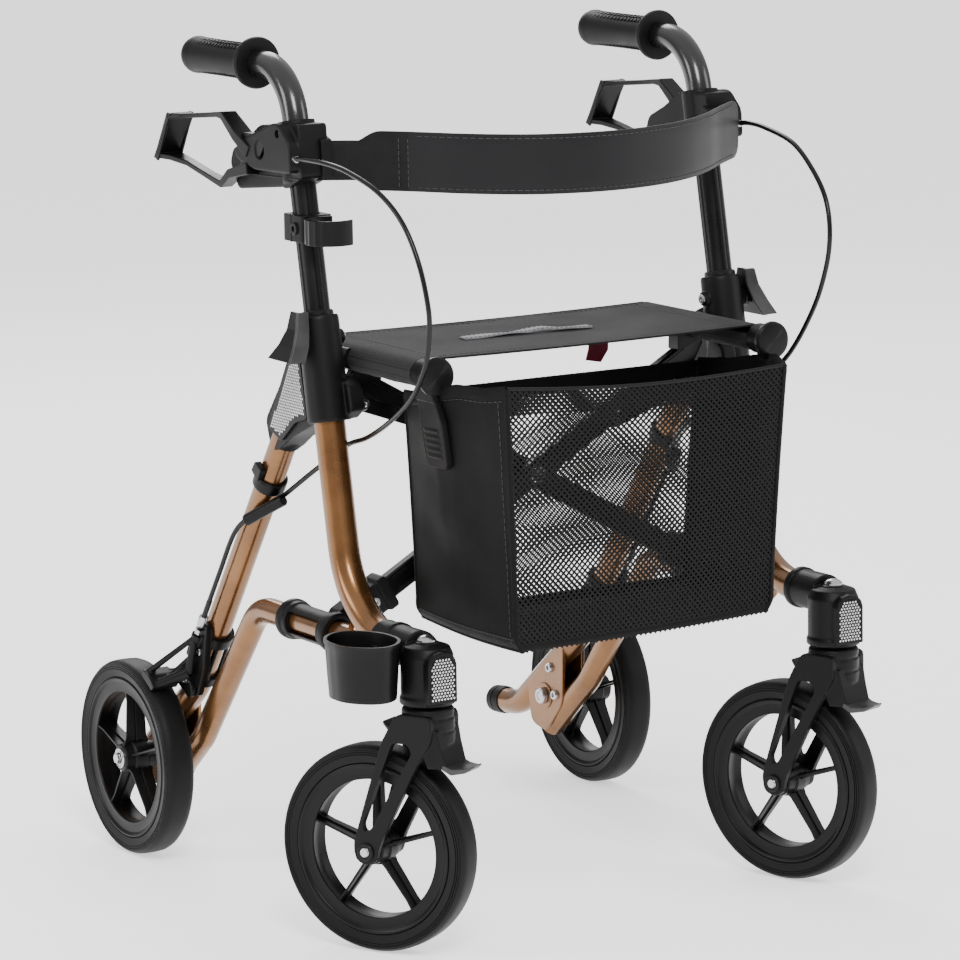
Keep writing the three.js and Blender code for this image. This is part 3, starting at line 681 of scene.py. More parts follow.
def clamp_knobs():
    y = post_y(CLAMP_Z)
    body = Form().rod((253.5, y, CLAMP_Z), (262, y, CLAMP_Z), 10.5, 9)
    body.loft([
        [(255, y - 10, 592), (259, y - 10, 592), (258, y + 9, 592), (255, y + 9, 592)],
        [(253, y - 13, 575), (262, y - 13, 575), (261, y + 12, 575), (253, y + 12, 575)],
        [(256, y - 20, 560), (269, y - 20, 560), (267, y + 18, 560), (256, y + 18, 560)],
        [(264, y - 25, 546), (277, y - 25, 547), (276, y + 24, 547), (264, y + 24, 546)],
    ])
    both("clamp_wing", body, SATIN, "knob", ["clamp_knob"], voxel=0.8, soften=2)
    slab = Form().loft([
        [(250, y - 13, 593), (262, y - 13, 593), (262, y - 9, 593), (250, y - 9, 593)],
        [(251, y - 16, 577), (265, y - 16, 577), (265, y - 12, 577), (251, y - 12, 577)],
        [(255, y - 22, 561), (272, y - 22, 561), (272, y - 18, 561), (255, y - 18, 561)],
        [(262, y - 27, 547), (280, y - 27, 547), (280, y - 23, 547), (262, y - 23, 547)],
    ])
    # The wing's front strip is drawn in the lighter moulding: painted highlight from the light in front.
    both("clamp_face", slab, PAINTED_HIGHLIGHT_MOULDING, "knob", bevel=1.2)
    stud = Form().rod((244.3, y, CLAMP_Z), (255, y, CLAMP_Z), 4.0)
    both("clamp_stud", stud, STEEL, "knob")


# ---------- handle posts ----------

def grooved(radius):
    """The post's section: round, with a pair of grooves at the front, back and each side."""
    count = 96
    section = []
    for k in range(count):
        angle = 2 * math.pi * k / count
        from_quarter = abs((angle / (math.pi / 2) + 0.5) % 1 - 0.5)
        depth = 0.9 if 0.10 < from_quarter < 0.17 else 0.0
        section.append(((radius - depth) * math.cos(angle), (radius - depth) * math.sin(angle)))
    return section


def handle_posts():
    lower = Form().sweep([(post_point(440), Vector((0, POST_LEAN, 1)).normalized()),
                          (post_point(745), Vector((0, POST_LEAN, 1)).normalized())], grooved(12.8))
    both("post_lower", lower, BLACK_METAL, "post", ["handle_post"], sharp=24)
    corners = [post_point(744), post_point(GRIP_Z), side_point(146, GRIP_Z)]
    both("post_bend", Form().sweep(bent_line(corners, 60, math.radians(3)), circle(12.8, 48)), GLOSS,
         "post")
    grips()


def grips():
    profile = [(13.0, 19.5), (18, 18), (24.2, 18.4), (25.3, 20.5), (25.0, 23.5), (22.5, 26.0), (18.6, 28.0),
               (17.0, 32.0)]
    for k in range(13):
        t = k / 12
        profile.append((16.6 - 0.9 * math.sin(math.pi * t) + 1.2 * t, 34 + 98 * t))
    profile += [(17.9, 133), (18.5, 137), (18.4, 141), (17.2, 145), (14.0, 147.2), (8, 148), (0, 148.2)]
    body = Form().turned(profile, (FRAME_X, 0, GRIP_Z), (0, 1, 0), 64)
    both("grip_sleeve", body, RUBBER, "post", ["grip"], sharp=50)
    ribs = Form()
    for k in range(15):
        y = 40 + 6.4 * k
        for lean in (-1, 1):
            for turn in (0.16, 0.5, 2.64, 2.98):
                spots = []
                for step in range(5):
                    angle = math.pi / 2 + lean * (turn + 0.055 * step)
                    reach = 17.0 - 0.4 * math.sin(math.pi * k / 15)
                    spots.append(Vector((FRAME_X + reach * math.cos(angle), y + 0.9 * abs(step - 2),
                                         GRIP_Z + reach * math.sin(angle))))
                ribs.sweep(smooth_line(spots, 2), circle(1.15, 6), Vector((0, 1, 0)))
    both("grip_ribs", ribs, RUBBER, "post")


def brake_housings():
    body = Form()
    front = rounded([(-93, 719), (-88, 770), (-58, 768), (-52, 757), (-52, 708), (-60, 706)], 4)
    body.prism(front, "x", FRAME_X - 14.5, 247.4)
    back = rounded([(-60, 708), (-60, 767), (-12, 764), (16, 748), (44, 736), (50, 722), (34, 698)], 5)
    body.prism(back, "x", FRAME_X + 3, 247.4)
    body.turned([(0, 0), (18.6, 0), (18.2, 58), (0, 58)], post_point(713), (0, POST_LEAN, 1), 48)
    boss = rounded([(-91, 724), (-89, 752), (-70, 769), (-58, 770), (0, 751), (22, 738), (14, 729),
                    (-20, 722)], 6)
    body.prism(boss, "x", 246, 258.6)
    holes = Form().turned([(0, -1), (6.5, -1), (6.5, 6), (11.0, 12), (11.6, 22), (0, 22)], (248, -30, 742),
                          (1, 0, 0), 32)
    holes.rod((252, -66, 760), (262, -66, 760), 4.2)
    both("brake_moulding", body, PLASTIC, "post", ["brake_housing"], holes, voxel=1.0, soften=4)
    pins = Form()
    hex_head(pins, (248.5, -30, 742), (1, 0, 0), 4.6, 2.6)
    hex_head(pins, (254.0, -66, 760), (1, 0, 0), 2.8, 2.0)
    both("brake_screws", pins, STEEL, "post")
    ferrule = Form().turned([(0, 0), (4.8, 0), (4.8, 3), (3.9, 4), (3.9, 7), (3.3, 8), (3.3, 10), (0, 10)],
                            (252, -84, 737.5), (0.1, -1, 0.02), 24)
    both("cable_ferrule", ferrule, STEEL, "post")
    seam = Form().prism([(-88, 718.0), (40, 714.0), (40, 713.0), (-88, 717.0)], "x", 246, 248.6)
    both("brake_seam", seam, SATIN, "post")


def brake_levers():
    """The loop is a bent band: wide at the back pad and at the neck, narrow between."""
    band = [  # y, z, half width, half thickness
        (-8, 738, 7.0, 6.5), (14, 752, 9.5, 5.0), (41, 769.5, 8.5, 3.6), (56, 769, 6.0, 2.6),
        (90, 765.5, 4.6, 2.4),
        (128, 762, 6.5, 2.4), (141, 761.5, 14, 3.0), (152, 745, 14, 2.2), (169, 720, 14, 3.0),
        (150, 719.5, 9, 2.6),
        (120, 716, 5.5, 2.6), (80, 707.5, 5.6, 2.8), (49, 702, 7.0, 3.4), (30, 714, 8.0, 4.4),
        (-6, 722, 7.0, 6.0),
    ]
    spots = [Vector((253, y, z)) for y, z, _, _ in band]
    ways = [(b - a).normalized() for a, b in zip(spots, spots[1:])]
    rings = []
    for k, (_, _, wide, thick) in enumerate(band):
        before, after = ways[max(k - 1, 0)], ways[min(k, len(ways) - 1)]
        way = (before + after).normalized()
        lean = 1.0 / max(0.55, math.sqrt((1 + before.dot(after)) / 2))
        over = Vector((1, 0, 0)).cross(way)
        rings.append([spots[k] + Vector((u * wide, 0, 0)) + over * v * thick * lean
                      for u, v in ((-1, -1), (1, -1), (1, 1), (-1, 1))])
    loop = Form().loft(rings)
    body = Form().prism(rounded([(-44, 756), (6, 756), (14, 742), (10, 722), (-30, 736)], 4), "x",
                        248.4, 257.4)
    both("brake_loop", loop, SATIN, "lever", ["brake_lever"], bevel=1.1)
    both("brake_hub", body, SATIN, "lever", bevel=0.9)
    pad_rib = Form()
    for x in (239.4, 264.0):
        pad_rib.prism([(137, 764), (144, 765), (173, 718), (166, 715)], "x", x, x + 2.6)
    both("brake_pad_ribs", pad_rib, SATIN, "lever", bevel=0.8)


CABLE_TAIL = [
    (211, -110, 463), (211, -78, 447), (215, -40, 425), (226, -2, 398), (243, 16, 381), (251.5, 48, 360),
    (252.5, 84, 311), (252.5, 132.6, 241.6),
]
CABLE_BOW = {
    "left": [(253, -92, 738), (250, -112, 740), (244, -150, 739), (237, -209, 729), (231, -252, 706),
             (227, -279, 680), (225, -288, 648), (224, -282, 613), (221, -263, 570), (218, -222, 520),
             (213, -165, 483)],
    "right": [(253, -93, 738), (252.5, -112, 739), (250.5, -146, 738), (247.5, -182, 733),
              (243.5, -231, 718),
              (239, -266, 693), (235, -288, 657), (231, -297, 616), (229, -293.7, 590), (227, -283, 561),
              (223, -251, 527), (218, -200, 497), (213.5, -150, 475)],
}


def brake_cables():
    for side in ("left", "right"):
        form = Form().sweep(smooth_line(CABLE_BOW[side] + CABLE_TAIL, 10), circle(2.5, 12),
                            Vector((1, 0, 0)))
        obj = make(f"{side}_cable_jacket", on_side(form, side), CABLE, None, [f"{side}_brake_cable"])
        world((0, -300, 560))
        world((0, -300, 760))
        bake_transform(obj)


# ---------- rear brake ----------

SHOE_ANGLE = 122.0


def rear_brakes():
    body = Form()
    for z, half in ((238, 6.0), (194, 5.5)):
        body.turned([(13.2, -half), (18.2, -half), (18.2, half), (13.2, half)], leg_point(z), LEG_WAY,
                    40, ring=True)
    across, over = frame_along(LEG_WAY)
    for angle in (20, 75, 165, 205, 250, 295):
        out = (across * math.cos(math.radians(angle)) + over * math.sin(math.radians(angle))) * 15.8
        body.rod(leg_point(238) + out, leg_point(194) + out, 2.6, sides=16)
    body.prism(rounded([(117, 250), (132, 255), (152, 226), (160, 196), (156, 174), (143, 174),
                        (126, 206)], 5), "x",
               243.5, 251)
    body.rod((252.5, 133, 241), (252.5, 149, 218), 6.2, 5.2)
    holes = Form().prism(rounded([(129, 242), (140, 226), (147, 204), (141, 198), (131, 212),
                                  (124, 236)], 3), "x",
                         240, 249)
    both("brake_carrier", body, SATIN, "frame", ["brake_bracket"], holes, voxel=0.9, soften=2)
    along = Vector((0, LEG_WAY.y, LEG_WAY.z))
    tip = Vector((252.5, 132.6, 241.6))
    chrome = Form().turned([(0, -25), (4.0, -25), (4.7, -23.6), (4.7, -12.4), (4.0, -11), (0, -11)],
                           tip, along, 28)
    chrome.turned([(0, -7), (4.6, -7), (4.6, -1), (0, -1)], tip, along, 6)
    chrome.rod(tip - along * 12, tip - along * 2, 1.5)
    both("cable_adjuster", chrome, STEEL, "frame", bevel=0.3)
    both("cable_end_sleeve", Form().rod(tip - along * 46, tip - along * 24, 2.9), CABLE, "frame", bevel=0.5)
    pins = Form()
    hex_head(pins, (251.6, 148, 182), (1, 0, 0), 5.6, 3.0)
    hex_head(pins, (249.6, 136, 222), (1, 0, 0), 4.4, 2.6)
    both("brake_pins", pins, STEEL, "frame")
    angle = math.radians(SHOE_ANGLE)
    out = Vector((0, math.cos(angle), math.sin(angle)))
    along_tyre = Vector((0, -out.z, out.y))
    centre = Vector((0, REAR_AXLE_Y, AXLE_Z)) + out * 102.9

    def on(radial, run):
        spot = centre + out * radial + along_tyre * run
        return (spot.y, spot.z)

    shoe = Form().prism(rounded([on(0, -12), on(7, -14), on(10, 0), on(7, 14), on(0, 12)], 2), "x", 260,
                        289)
    shoe.prism(rounded([(142, 190), (151, 174), on(2, -4), on(10, 2), on(9, 14)], 4), "x", 252.6, 258)
    shoe.prism([on(3, -8), on(9, -8), on(9, 8), on(3, 8)], "x", 254, 262)
    # Two arms run from the carrier down to the pad: a thin upper one and a thick lower one.
    shoe.rod((255.5, 134, 238), (284, *on(6, -9)), 2.7, 3.3)
    shoe.rod((256.5, 147, 200), (281, *on(5, 9)), 6.6, 4.6)
    shoe.rod((255.5, 134, 238), (256.5, 147, 200), 3.0, 5.0)
    shoe.rod((256.0, 141, 218), (268, *on(6, 3)), 2.4)
    shoe.rod((252.6, 148, 182), (258, 148, 182), 8.0)
    both("brake_block", shoe, SATIN, "shoe", ["brake_shoe"], voxel=0.9, soften=2)
    # The clip that holds the cable on the rear leg.
    clip = Form()
    clip.turned([(13.9, -7), (16.2, -7), (16.8, -5), (16.8, 5), (16.2, 7), (13.9, 7)], leg_point(412),
                LEG_WAY, 40,
                ring=True)
    clip.rod((229, -9, 396), (250, 30, 372), 6.0)
    clip.prism(rounded([(-4, 426), (8, 434), (16, 424), (4, 414)], 2), "x", 244, 251)
    both("cable_clip", clip, SATIN, "frame", voxel=0.9, soften=3)


# ---------- wheels ----------

def tyre_form(origin):
    """The sidewalls carry concentric grooves, and the tread is crowned."""
    side = [(82.0, 12.6), (83.4, 14.0)]
    for k in range(3):
        r = 89.6 + 2.2 * k
        side += [(r, 15.2), (r + 0.9, 15.4), (r + 1.2, 14.6), (r + 1.7, 14.6)]
    side += [(96.6, 14.6), (98.4, 12.4)]
    crown = [(99.4 + 0.6 * math.cos(math.pi * x / 22), x) for x in (9.6, 6, 2.4, -2.4, -6, -9.6)]
    profile = side + crown + [(r, -x) for r, x in reversed(side)]
    return Form().turned(profile, origin, (1, 0, 0), 128, ring=True)


def wheel_form(origin):
    """A drum rim on five ribbed spokes."""
    rim = Form()
    rim.turned([(82.0, -12.6), (82.2, -14.0), (80.6, -14.6), (78.8, -13.8), (77.4, -12.6),
                (70.6, -11.6), (67.4, -11.9),
                (66.6, -10.4), (68.6, -3.0), (68.9, 0), (68.6, 3.0), (66.6, 10.4), (67.4, 11.9),
                (70.6, 11.6),
                (77.4, 12.6), (78.8, 13.8), (80.6, 14.6), (82.2, 14.0), (82.0, 12.6)], (0, 0, 0),
               (1, 0, 0), 96,
               ring=True)
    hub = [(4.6, -18.4), (12.8, -18.4), (14.0, -17.2), (14.8, -8), (16.6, -6.4), (16.6, 6.4), (14.8, 8),
           (14.0, 17.2),
           (12.8, 18.4), (4.6, 18.4)]
    rim.turned(hub, (0, 0, 0), (1, 0, 0), 48, ring=True)
    for k in range(5):
        angle = 2 * math.pi * k / 5
        radial = Vector((0, math.sin(angle), math.cos(angle)))
        along = Vector((0, math.cos(angle), -math.sin(angle)))
        for half_wide, half_deep, flare in ((3.0, 1.5, 3.0), (1.2, 11.4, 0.4)):
            rings = []
            for reach, grow in ((12, 1.25), (20, 1.0), (58, 0.86), (66, 0.95), (70, 0.95 + flare / 4)):
                rings.append([radial * reach + along * u * half_wide * grow
                              + Vector((v * half_deep * grow, 0, 0))
                              for u, v in ((-1, -1), (1, -1), (1, 1), (-1, 1))])
            rim.loft(rings)
    return rim.changed(lambda p: p + Vector(origin))


def rear_wheels():
    centre = (REAR_WHEEL_X, REAR_AXLE_Y, AXLE_Z)
    both("rear_tyre_ring", tyre_form(centre), TYRE, "rear_wheel", ["rear_tyre"], sharp=28)
    both("rear_spokes", wheel_form(centre), SATIN, "rear_wheel", ["rear_wheel"], bevel=0.5, rounds=2)
    bearing = Form()
    bearing.turned([(6.0, 0), (10.4, 0), (10.4, 1.6), (9.6, 2.0), (8.8, 1.0), (7.4, 1.0), (6.8, 2.0),
                    (6.0, 2.0)],
                   (REAR_WHEEL_X + 18.2, REAR_AXLE_Y, AXLE_Z), (1, 0, 0), 40, ring=True)
    both("rear_bearing", bearing, STEEL, "rear_wheel")
    axle = Form()
    axle.rod((209.5, REAR_AXLE_Y, AXLE_Z), (298, REAR_AXLE_Y, AXLE_Z), 4.0)
    axle.prism([(REAR_AXLE_Y + y, AXLE_Z + z) for y, z in circle(5.4, 6)], "x", 294.4, 298.6)
    hex_head(axle, (215, REAR_AXLE_Y, AXLE_Z), (-1, 0, 0), 8.6, 6.0)
    axle.turned([(4, 0), (7.6, 0), (7.6, 9), (4, 9)], (245.5, REAR_AXLE_Y, AXLE_Z), (1, 0, 0), 32,
                ring=True)
    both("rear_axle_bolt", axle, STEEL, "frame", ["rear_axle"], bevel=0.4, rounds=2)


def knuckles():
    x, y = FRAME_X, CASTER_Y
    body = Form()
    body.turned([(0, 243.5), (25, 243.5), (26.4, 245), (26.4, 250), (25, 252), (25, 290), (21.5, 298),
                 (13, 301), (0, 301)],
                (x, y, 0), (0, 0, 1), 48)
    body.rod(side_point(-272, KNUCKLE_Z), side_point(-226, KNUCKLE_Z), 19.5, 18.8)
    body.turned([(18.5, -1.5), (20.6, -1), (20.6, 6), (18.5, 6.6)], side_point(-232, KNUCKLE_Z),
                (0, 1, 0), 40, ring=True)
    arch = [(x - 15.5, 247.5), (x + 15.5, 247.5), (x + 15.5, 284)]
    arch += [(x + 15.5 * math.cos(a), 284 + 12.5 * math.sin(a))
             for a in (0.5, 1.0, math.pi / 2, 2.14, 2.64)]
    arch += [(x - 15.5, 284)]
    body.prism(arch, "y", y - 29, y - 4)
    both("knuckle_moulding", body, PLASTIC, "frame", ["front_knuckle"], voxel=1.0, soften=4)
    arc = [(x + 13.5 * math.cos(a), 282.5 + 11.5 * math.sin(a))
           for a in (0.35, 0.8, math.pi / 2, 2.34, 2.79)]
    lens = [(x - 13.5, 249.0), (x + 13.5, 249.0), (x + 13.5, 282.5)] + arc + [(x - 13.5, 282.5)]
    both("front_reflector", prisms(lens, lambda u, v, h: (u, y - 28.7 - h, v)), LENS, "frame", sharp=5)
    both("front_reflector_back", Form().prism(rounded(lens, 2), "y", y - 29.0, y - 27), SATIN, "frame",
         bevel=0.5)
    dome = Form().turned([(0, 0), (9.5, 0), (9.2, 2.6), (7.0, 5.0), (3.5, 6.4), (0, 6.8)],
                         (x, y, 301.5), (0, 0, 1), 32)
    both("knuckle_dome", dome, STEEL, "frame")
    cap = Form().turned([(0, 0), (11.5, 0), (11.2, 2.0), (8.0, 3.4), (0, 3.8)], (x, y, 300.0),
                        (0, 0, 1), 32)
    both("knuckle_cap", cap, SATIN, "frame")


def casters():
    """Drawn about the swivel axis with the wheel trailing straight back, then turned to its own angle."""
    fork = Form()
    collar = [(0, 206), (24.5, 206), (25.4, 208), (25.4, 217), (24.4, 218), (24.4, 219.5),
              (25.2, 220.5), (25.2, 230),
              (24.0, 231), (24.0, 232.4), (24.8, 233.4), (24.6, 239), (22.8, 241), (0, 241)]
    fork.turned(collar, (0, 0, 0), (0, 0, 1), 56)
    for side in (-1, 1):
        low, high = sorted((side * 19.6, side * 26.4))
        outer = rounded([(-18, 236), (20, 236), (36, 208), (TRAIL + 14, 106), (TRAIL + 11, 91),
                         (TRAIL, 86.5),
                         (TRAIL - 11, 91), (TRAIL - 14, 106), (-5, 194), (-18, 212)], 7)
        fork.prism(outer, "x", low, high)
    # The skirt and beak in front and the ear behind, over the tyre.
    fork.loft([
        [(-25, -4, 222), (25, -4, 222), (21, -21, 222), (-21, -21, 222)],
        [(-25, -6, 204), (25, -6, 204), (20, -25, 204), (-20, -25, 204)],
        [(-24, -12, 186), (24, -12, 186), (18, -31, 186), (-18, -31, 186)],
    ])
    fork.loft([
        [(-24, 12, 212), (24, 12, 212), (24, 12, 219), (-24, 12, 219)],
        [(-20, 30, 215), (20, 30, 215), (20, 30, 220), (-20, 30, 220)],
        [(-11, 43, 222), (11, 43, 222), (11, 43, 225), (-11, 43, 225)],
    ])
    beak = Form().loft([
        [(-20, -22, 187), (20, -22, 187), (20, -22, 192), (-20, -22, 192)],
        [(-19, -34, 181), (19, -34, 181), (19, -34, 187), (-19, -34, 187)],
        [(-14, -46, 183), (14, -46, 183), (14, -46, 187), (-14, -46, 187)],
        [(-7, -53, 188), (7, -53, 188), (7, -53, 190), (-7, -53, 190)],
    ])
    slots = Form()
    slot = rounded([(3, 200), (8, 208), (24, 208), (TRAIL + 3.5, 126), (TRAIL + 1, 119),
                    (TRAIL - 6, 122)], 4)
    slots.prism(slot, "x", -40, -18.5)
    slots.prism(slot, "x", 18.5, 40)
    wheel_centre = Vector((0, TRAIL, AXLE_Z))
    stem = Form().rod((0, 0, 240), (0, 0, 246), 14, 12)
    bosses = Form()
    bolt = Form().rod(wheel_centre - Vector((30, 0, 0)), wheel_centre + Vector((30, 0, 0)), 4.0)
    for side in (-1, 1):
        hex_head(bolt, wheel_centre + Vector((26.2 * side, 0, 0)), (side, 0, 0), 4.8, 3.0)
        collar = wheel_centre + Vector((26.0 * side, 0, 0))
        bosses.turned([(4.6, 0), (8.6, 0), (8.6, 2.2), (7.6, 3.0), (5.6, 3.0), (4.6, 2.0)], collar,
                      (side, 0, 0), 32,
                      ring=True)
        bolt.turned([(4, 0), (8.2, 0), (8.2, 1.0), (4, 1.0)],
                    wheel_centre + Vector((side * 18.5, 0, 0)), (side, 0, 0),
                    24, ring=True)
    pieces = (
        ("fork_moulding", fork, PLASTIC, "caster", ["caster_fork"],
         {"holes": slots, "voxel": 0.9, "soften": 2}),
        ("caster_stem", stem, SATIN, "caster", [], {}),
        ("axle_bosses", bosses, SATIN, "caster", [], {}),
        # The beak uses the same lighter moulding: painted highlight on its front face.
        ("caster_beak", beak, PAINTED_HIGHLIGHT_MOULDING, "caster", [], {"bevel": 1.2}),
        ("front_axle_bolt", bolt, STEEL, "caster", ["front_axle"], {}),
        ("front_tyre_ring", tyre_form(wheel_centre), TYRE, "front_wheel", ["front_tyre"], {"sharp": 28}),
        ("front_spokes", wheel_form(wheel_centre), SATIN, "front_wheel", ["front_wheel"],
         {"bevel": 0.5, "rounds": 2}),
    )
    for side, x in (("left", FRAME_X), ("right", -FRAME_X)):
        turn = Matrix.Rotation(math.radians(YAW[side]), 3, "Z")

        def place(p, turn=turn, x=x):
            return turn @ p + Vector((x, CASTER_Y, 0))

        for name, form, material, body, nodes, options in pieces:
            own = dict(options)
            if "holes" in own:
                own["holes"] = own["holes"].changed(place)
            make(f"{side}_{name}", form.changed(place), material, f"{side}_{body}",
                 [f"{side}_{node}" for node in nodes], **own)


# ---------- X-brace, rails and hangers ----------

REST_ANGLE = math.atan2(PIVOT_Z - TUBE_Z, FRAME_X)
REACH = math.hypot(PIVOT_Z - TUBE_Z, FRAME_X)


def on_bar(s, e):
    """s along the bar that climbs to the left, from the middle pivot, and e square to it."""
    return (s * math.cos(REST_ANGLE) - e * math.sin(REST_ANGLE),
            PIVOT_Z + s * math.sin(REST_ANGLE) + e * math.cos(REST_ANGLE))


def bar_outline(s0, s1, half):
    return [on_bar(s0, -half), on_bar(s1, -half), on_bar(s1, half), on_bar(s0, half)]


def braces():
    for side in ("right", "left"):
        y = BAR_Y[side]
        bar = Form().prism([on_bar(*p) for p in ((-REACH + 24, -11.6), (208, -11.6), (228, 0),
                                                 (228, 11.6), (-REACH + 24, 11.6))],
                           "y", y - 6, y + 6)
        ribs = Form()
        for e in (-6.6, 6.6):
            ends = [on_bar(s, e + t) for s, t in ((-REACH + 80, -1.2), (205, -1.2), (205, 1.2),
                                                  (-REACH + 80, 1.2))]
            ribs.prism(ends, "y", y - 6.6, y + 6.6)
        saddle = Form().prism(rounded([on_bar(196, 10), on_bar(246, 4), on_bar(246, 24),
                                       on_bar(206, 26)], 4), "y",
                              y - 9, y + 9)
        sleeve = Form()
        hinge = Vector((-FRAME_X, 0, TUBE_Z))
        profile = [(13.2, 0), (19.0, 0), (20.2, 1.2), (20.2, 8), (18.6, 10), (18.6, 16), (16.8, 18),
                   (16.8, 76),
                   (18.6, 78), (18.6, 84), (20.2, 86), (20.2, 92), (19.0, 94), (13.2, 94)]
        sleeve.turned(profile, hinge + Vector((0, -118, 0)), (0, 1, 0), 48, ring=True)
        socket = bar_outline(-REACH + 12, -REACH + 66, 15.6)
        sleeve.prism(rounded(socket, 3), "y", y - 10, y + 10)
        collar = bar_outline(-REACH + 60, -REACH + 72, 17.5)
        sleeve.prism(rounded(collar, 3), "y", y - 12, y + 12)
        room = Form().rod((-FRAME_X, -130, TUBE_Z), (-FRAME_X, 0, TUBE_Z), 12.9)
        room.slab((-FRAME_X - 30, -101, TUBE_Z - 10), (-FRAME_X - 4, -41, TUBE_Z + 11))
        screws = Form()
        x, z = on_bar(-REACH + 50, 0)
        hex_head(screws, (x, y - 9.6, z), (0, -1, 0), 5.4, 3.2)
        hex_head(screws, (x, y + 9.6, z), (0, 1, 0), 5.4, 3.2)
        forms = {"brace_beam": (bar, BLACK_METAL, [f"{side}_brace_bar"], {"bevel": 2.2}),
                 "brace_ribs": (ribs, BLACK_METAL, [], {"bevel": 0.5}),
                 "rail_saddle": (saddle, SATIN, [], {"bevel": 1.5}),
                 "brace_socket": (sleeve, PLASTIC, [f"{side}_brace_sleeve"],
                                  {"voxel": 1.1, "soften": 3, "holes": room}),
                 "socket_screws": (screws, STEEL, [], {})}
        for name, (form, material, nodes, options) in forms.items():
            if side == "left":
                form = form.mirrored()
                if "holes" in options:
                    options["holes"] = options["holes"].mirrored()
            make(f"{side}_{name}", form, material, f"{side}_brace", nodes, **options)
    bolt = Form()
    hex_head(bolt, (0, -107.4, PIVOT_Z), (0, -1, 0), 9.0, 5.0)
    hex_head(bolt, (0, -79.6, PIVOT_Z), (0, 1, 0), 9.0, 6.0, recess=False)
    bolt.turned([(0, 0), (12, 0), (12, 1.4), (0, 1.4)], (0, -94.2, PIVOT_Z), (0, 1, 0), 32)
    make("pivot_bolt", bolt, STEEL, "right_brace", ["brace_pivot_bolt"])
    links()


def links():
    """The link from each housing to the bar that climbs past it; drawn for the right side."""
    end_x, end_z = on_bar(95, 0)
    start, end = Vector((-LINK_TOP[0], -123, LINK_TOP[1])), Vector((-end_x, -123, end_z))
    way = (end - start).normalized()
    square = Vector((-way.z, 0, way.x)) * 7.0
    outline = []
    for centre, first in ((end, -math.pi / 2), (start, math.pi / 2)):
        for k in range(9):
            angle = first + math.pi * k / 8
            spot = centre + way * 7.5 * math.cos(angle) + square * math.sin(angle)
            outline.append((spot.x, spot.z))
    for side, face in (("right", BAR_Y["left"] - 7), ("left", BAR_Y["right"] - 7)):
        bar = Form().prism(outline, "y", -125.4, -120.6)
        pin = Form().rod((end.x, -121, end.z), (end.x, face, end.z), 3.8)
        hex_head(pin, (end.x, -125.2, end.z), (0, -1, 0), 5.6, 3.0)
        if side == "left":
            bar, pin = bar.mirrored(), pin.mirrored()
        make(f"{side}_link_bar", bar, BLACK_METAL, f"{side}_link", [f"{side}_upper_link"], bevel=1.0)
        make(f"{side}_link_pin", pin, STEEL, f"{side}_link")


def rails_and_hangers():
    x, z = RAIL
    rail = Form().turned([(0, -14), (9.4, -14), (10.5, -15.5), (10.5, -231), (0, -231)], (x, 0, z),
                         (0, 1, 0), 40)
    tail = Form().turned([(0, -10), (10.2, -10), (11.6, -11), (11.6, -15), (10.6, -17), (0, -17)],
                         (x, 0, z), (0, 1, 0), 40)
    for side, body in (("left", "right_brace"), ("right", "left_brace")):
        make(f"{side}_rail_tube", on_side(rail, side), BLACK_METAL, body, [f"{side}_seat_rail"])
        make(f"{side}_rail_plug", on_side(tail, side), SATIN, body)
    neck = [(10.9, -236), (14.0, -236)]
    for k in range(8):
        y = -233.6 + 2.2 * k
        neck += [(14.6, y), (14.6, y + 1.2), (13.7, y + 1.4), (13.7, y + 2.0)]
    neck += [(12.6, -214.6), (10.9, -214.6)]
    collar = Form().turned(neck, (x, 0, z), (0, 1, 0), 48, ring=True)
    disc = Form().turned([(0, -243.4), (12, -243.2), (17.0, -242.2), (18.6, -240.4), (18.8, -237.5),
                          (18.0, -235.8),
                          (12, -235.2), (0, -235.2)], (x, 0, z), (0, 1, 0), 56)
    tab = Form()
    rows = ((532, -236, -218, 2.4), (516, -241, -211, 2.2), (498, -246, -208, 2.0), (478, -246, -208, 2.0),
            (459, -245, -209, 2.0), (453, -242, -212, 1.6))
    rings = []
    for height, front, back, half in rows:
        middle = x - 0.155 * (532 - height) + 3.0
        rings.append([(middle - half - 0.18 * (-228 - front), front, height),
                      (middle + half, front, height),
                      (middle + half + 1.5, back, height), (middle - half + 1.5, back, height)])
    tab.loft(rings)
    for k in range(5):
        height = 488 - 6.2 * k
        middle = x - 0.155 * (532 - height) + 5.0
        tab.slab((middle - 1, -240, height), (middle + 2.0, -215, height + 2.6))
    arm = Form().loft([
        [(x - 6, -240, z - 8), (x + 10, -240, z - 8), (x + 10, -226, z - 8), (x - 6, -226, z - 8)],
        [(x - 2, -240, 532), (x + 7, -240, 532), (x + 8, -214, 532), (x - 1, -214, 532)],
        [(x, -242, 518), (x + 5, -242, 518), (x + 6.5, -210, 518), (x + 2, -210, 518)],
    ])
    tab.merged(arm)
    for side, body in (("left", "left_hook"), ("right", "basket_hook")):
        make(f"{side}_hook_neck", on_side(collar, side), PLASTIC, body, [f"{side}_basket_hanger"])
        make(f"{side}_hook_disc", on_side(disc, side), SATIN, body)
        make(f"{side}_hook_tab", on_side(tab, side), PLASTIC, body, voxel=0.9, soften=2)


# ---------- seat ----------

def grid_sheet(name, columns, rows, spot, material, thick):
    """An open sheet from spot(u, v) with u and v from 0 to 1, given a thickness."""
    points = [spot(i / columns, j / rows) for j in range(rows + 1) for i in range(columns + 1)]
    wide = columns + 1
    faces = [[j * wide + i, j * wide + i + 1, (j + 1) * wide + i + 1, (j + 1) * wide + i]
             for j in range(rows) for i in range(columns)]
    form = Form().shell(points, faces)
    return make(name, form, material, None, thick=thick, sharp=70)


def ripple(x, y, z, size, reach):
    return noise.noise(Vector((x, y, z)) / size) * reach


SEAT_BACK, SEAT_FRONT = -14.0, -213.0
WRAP_STEPS = 24
THREAD_RADIUS = 0.42


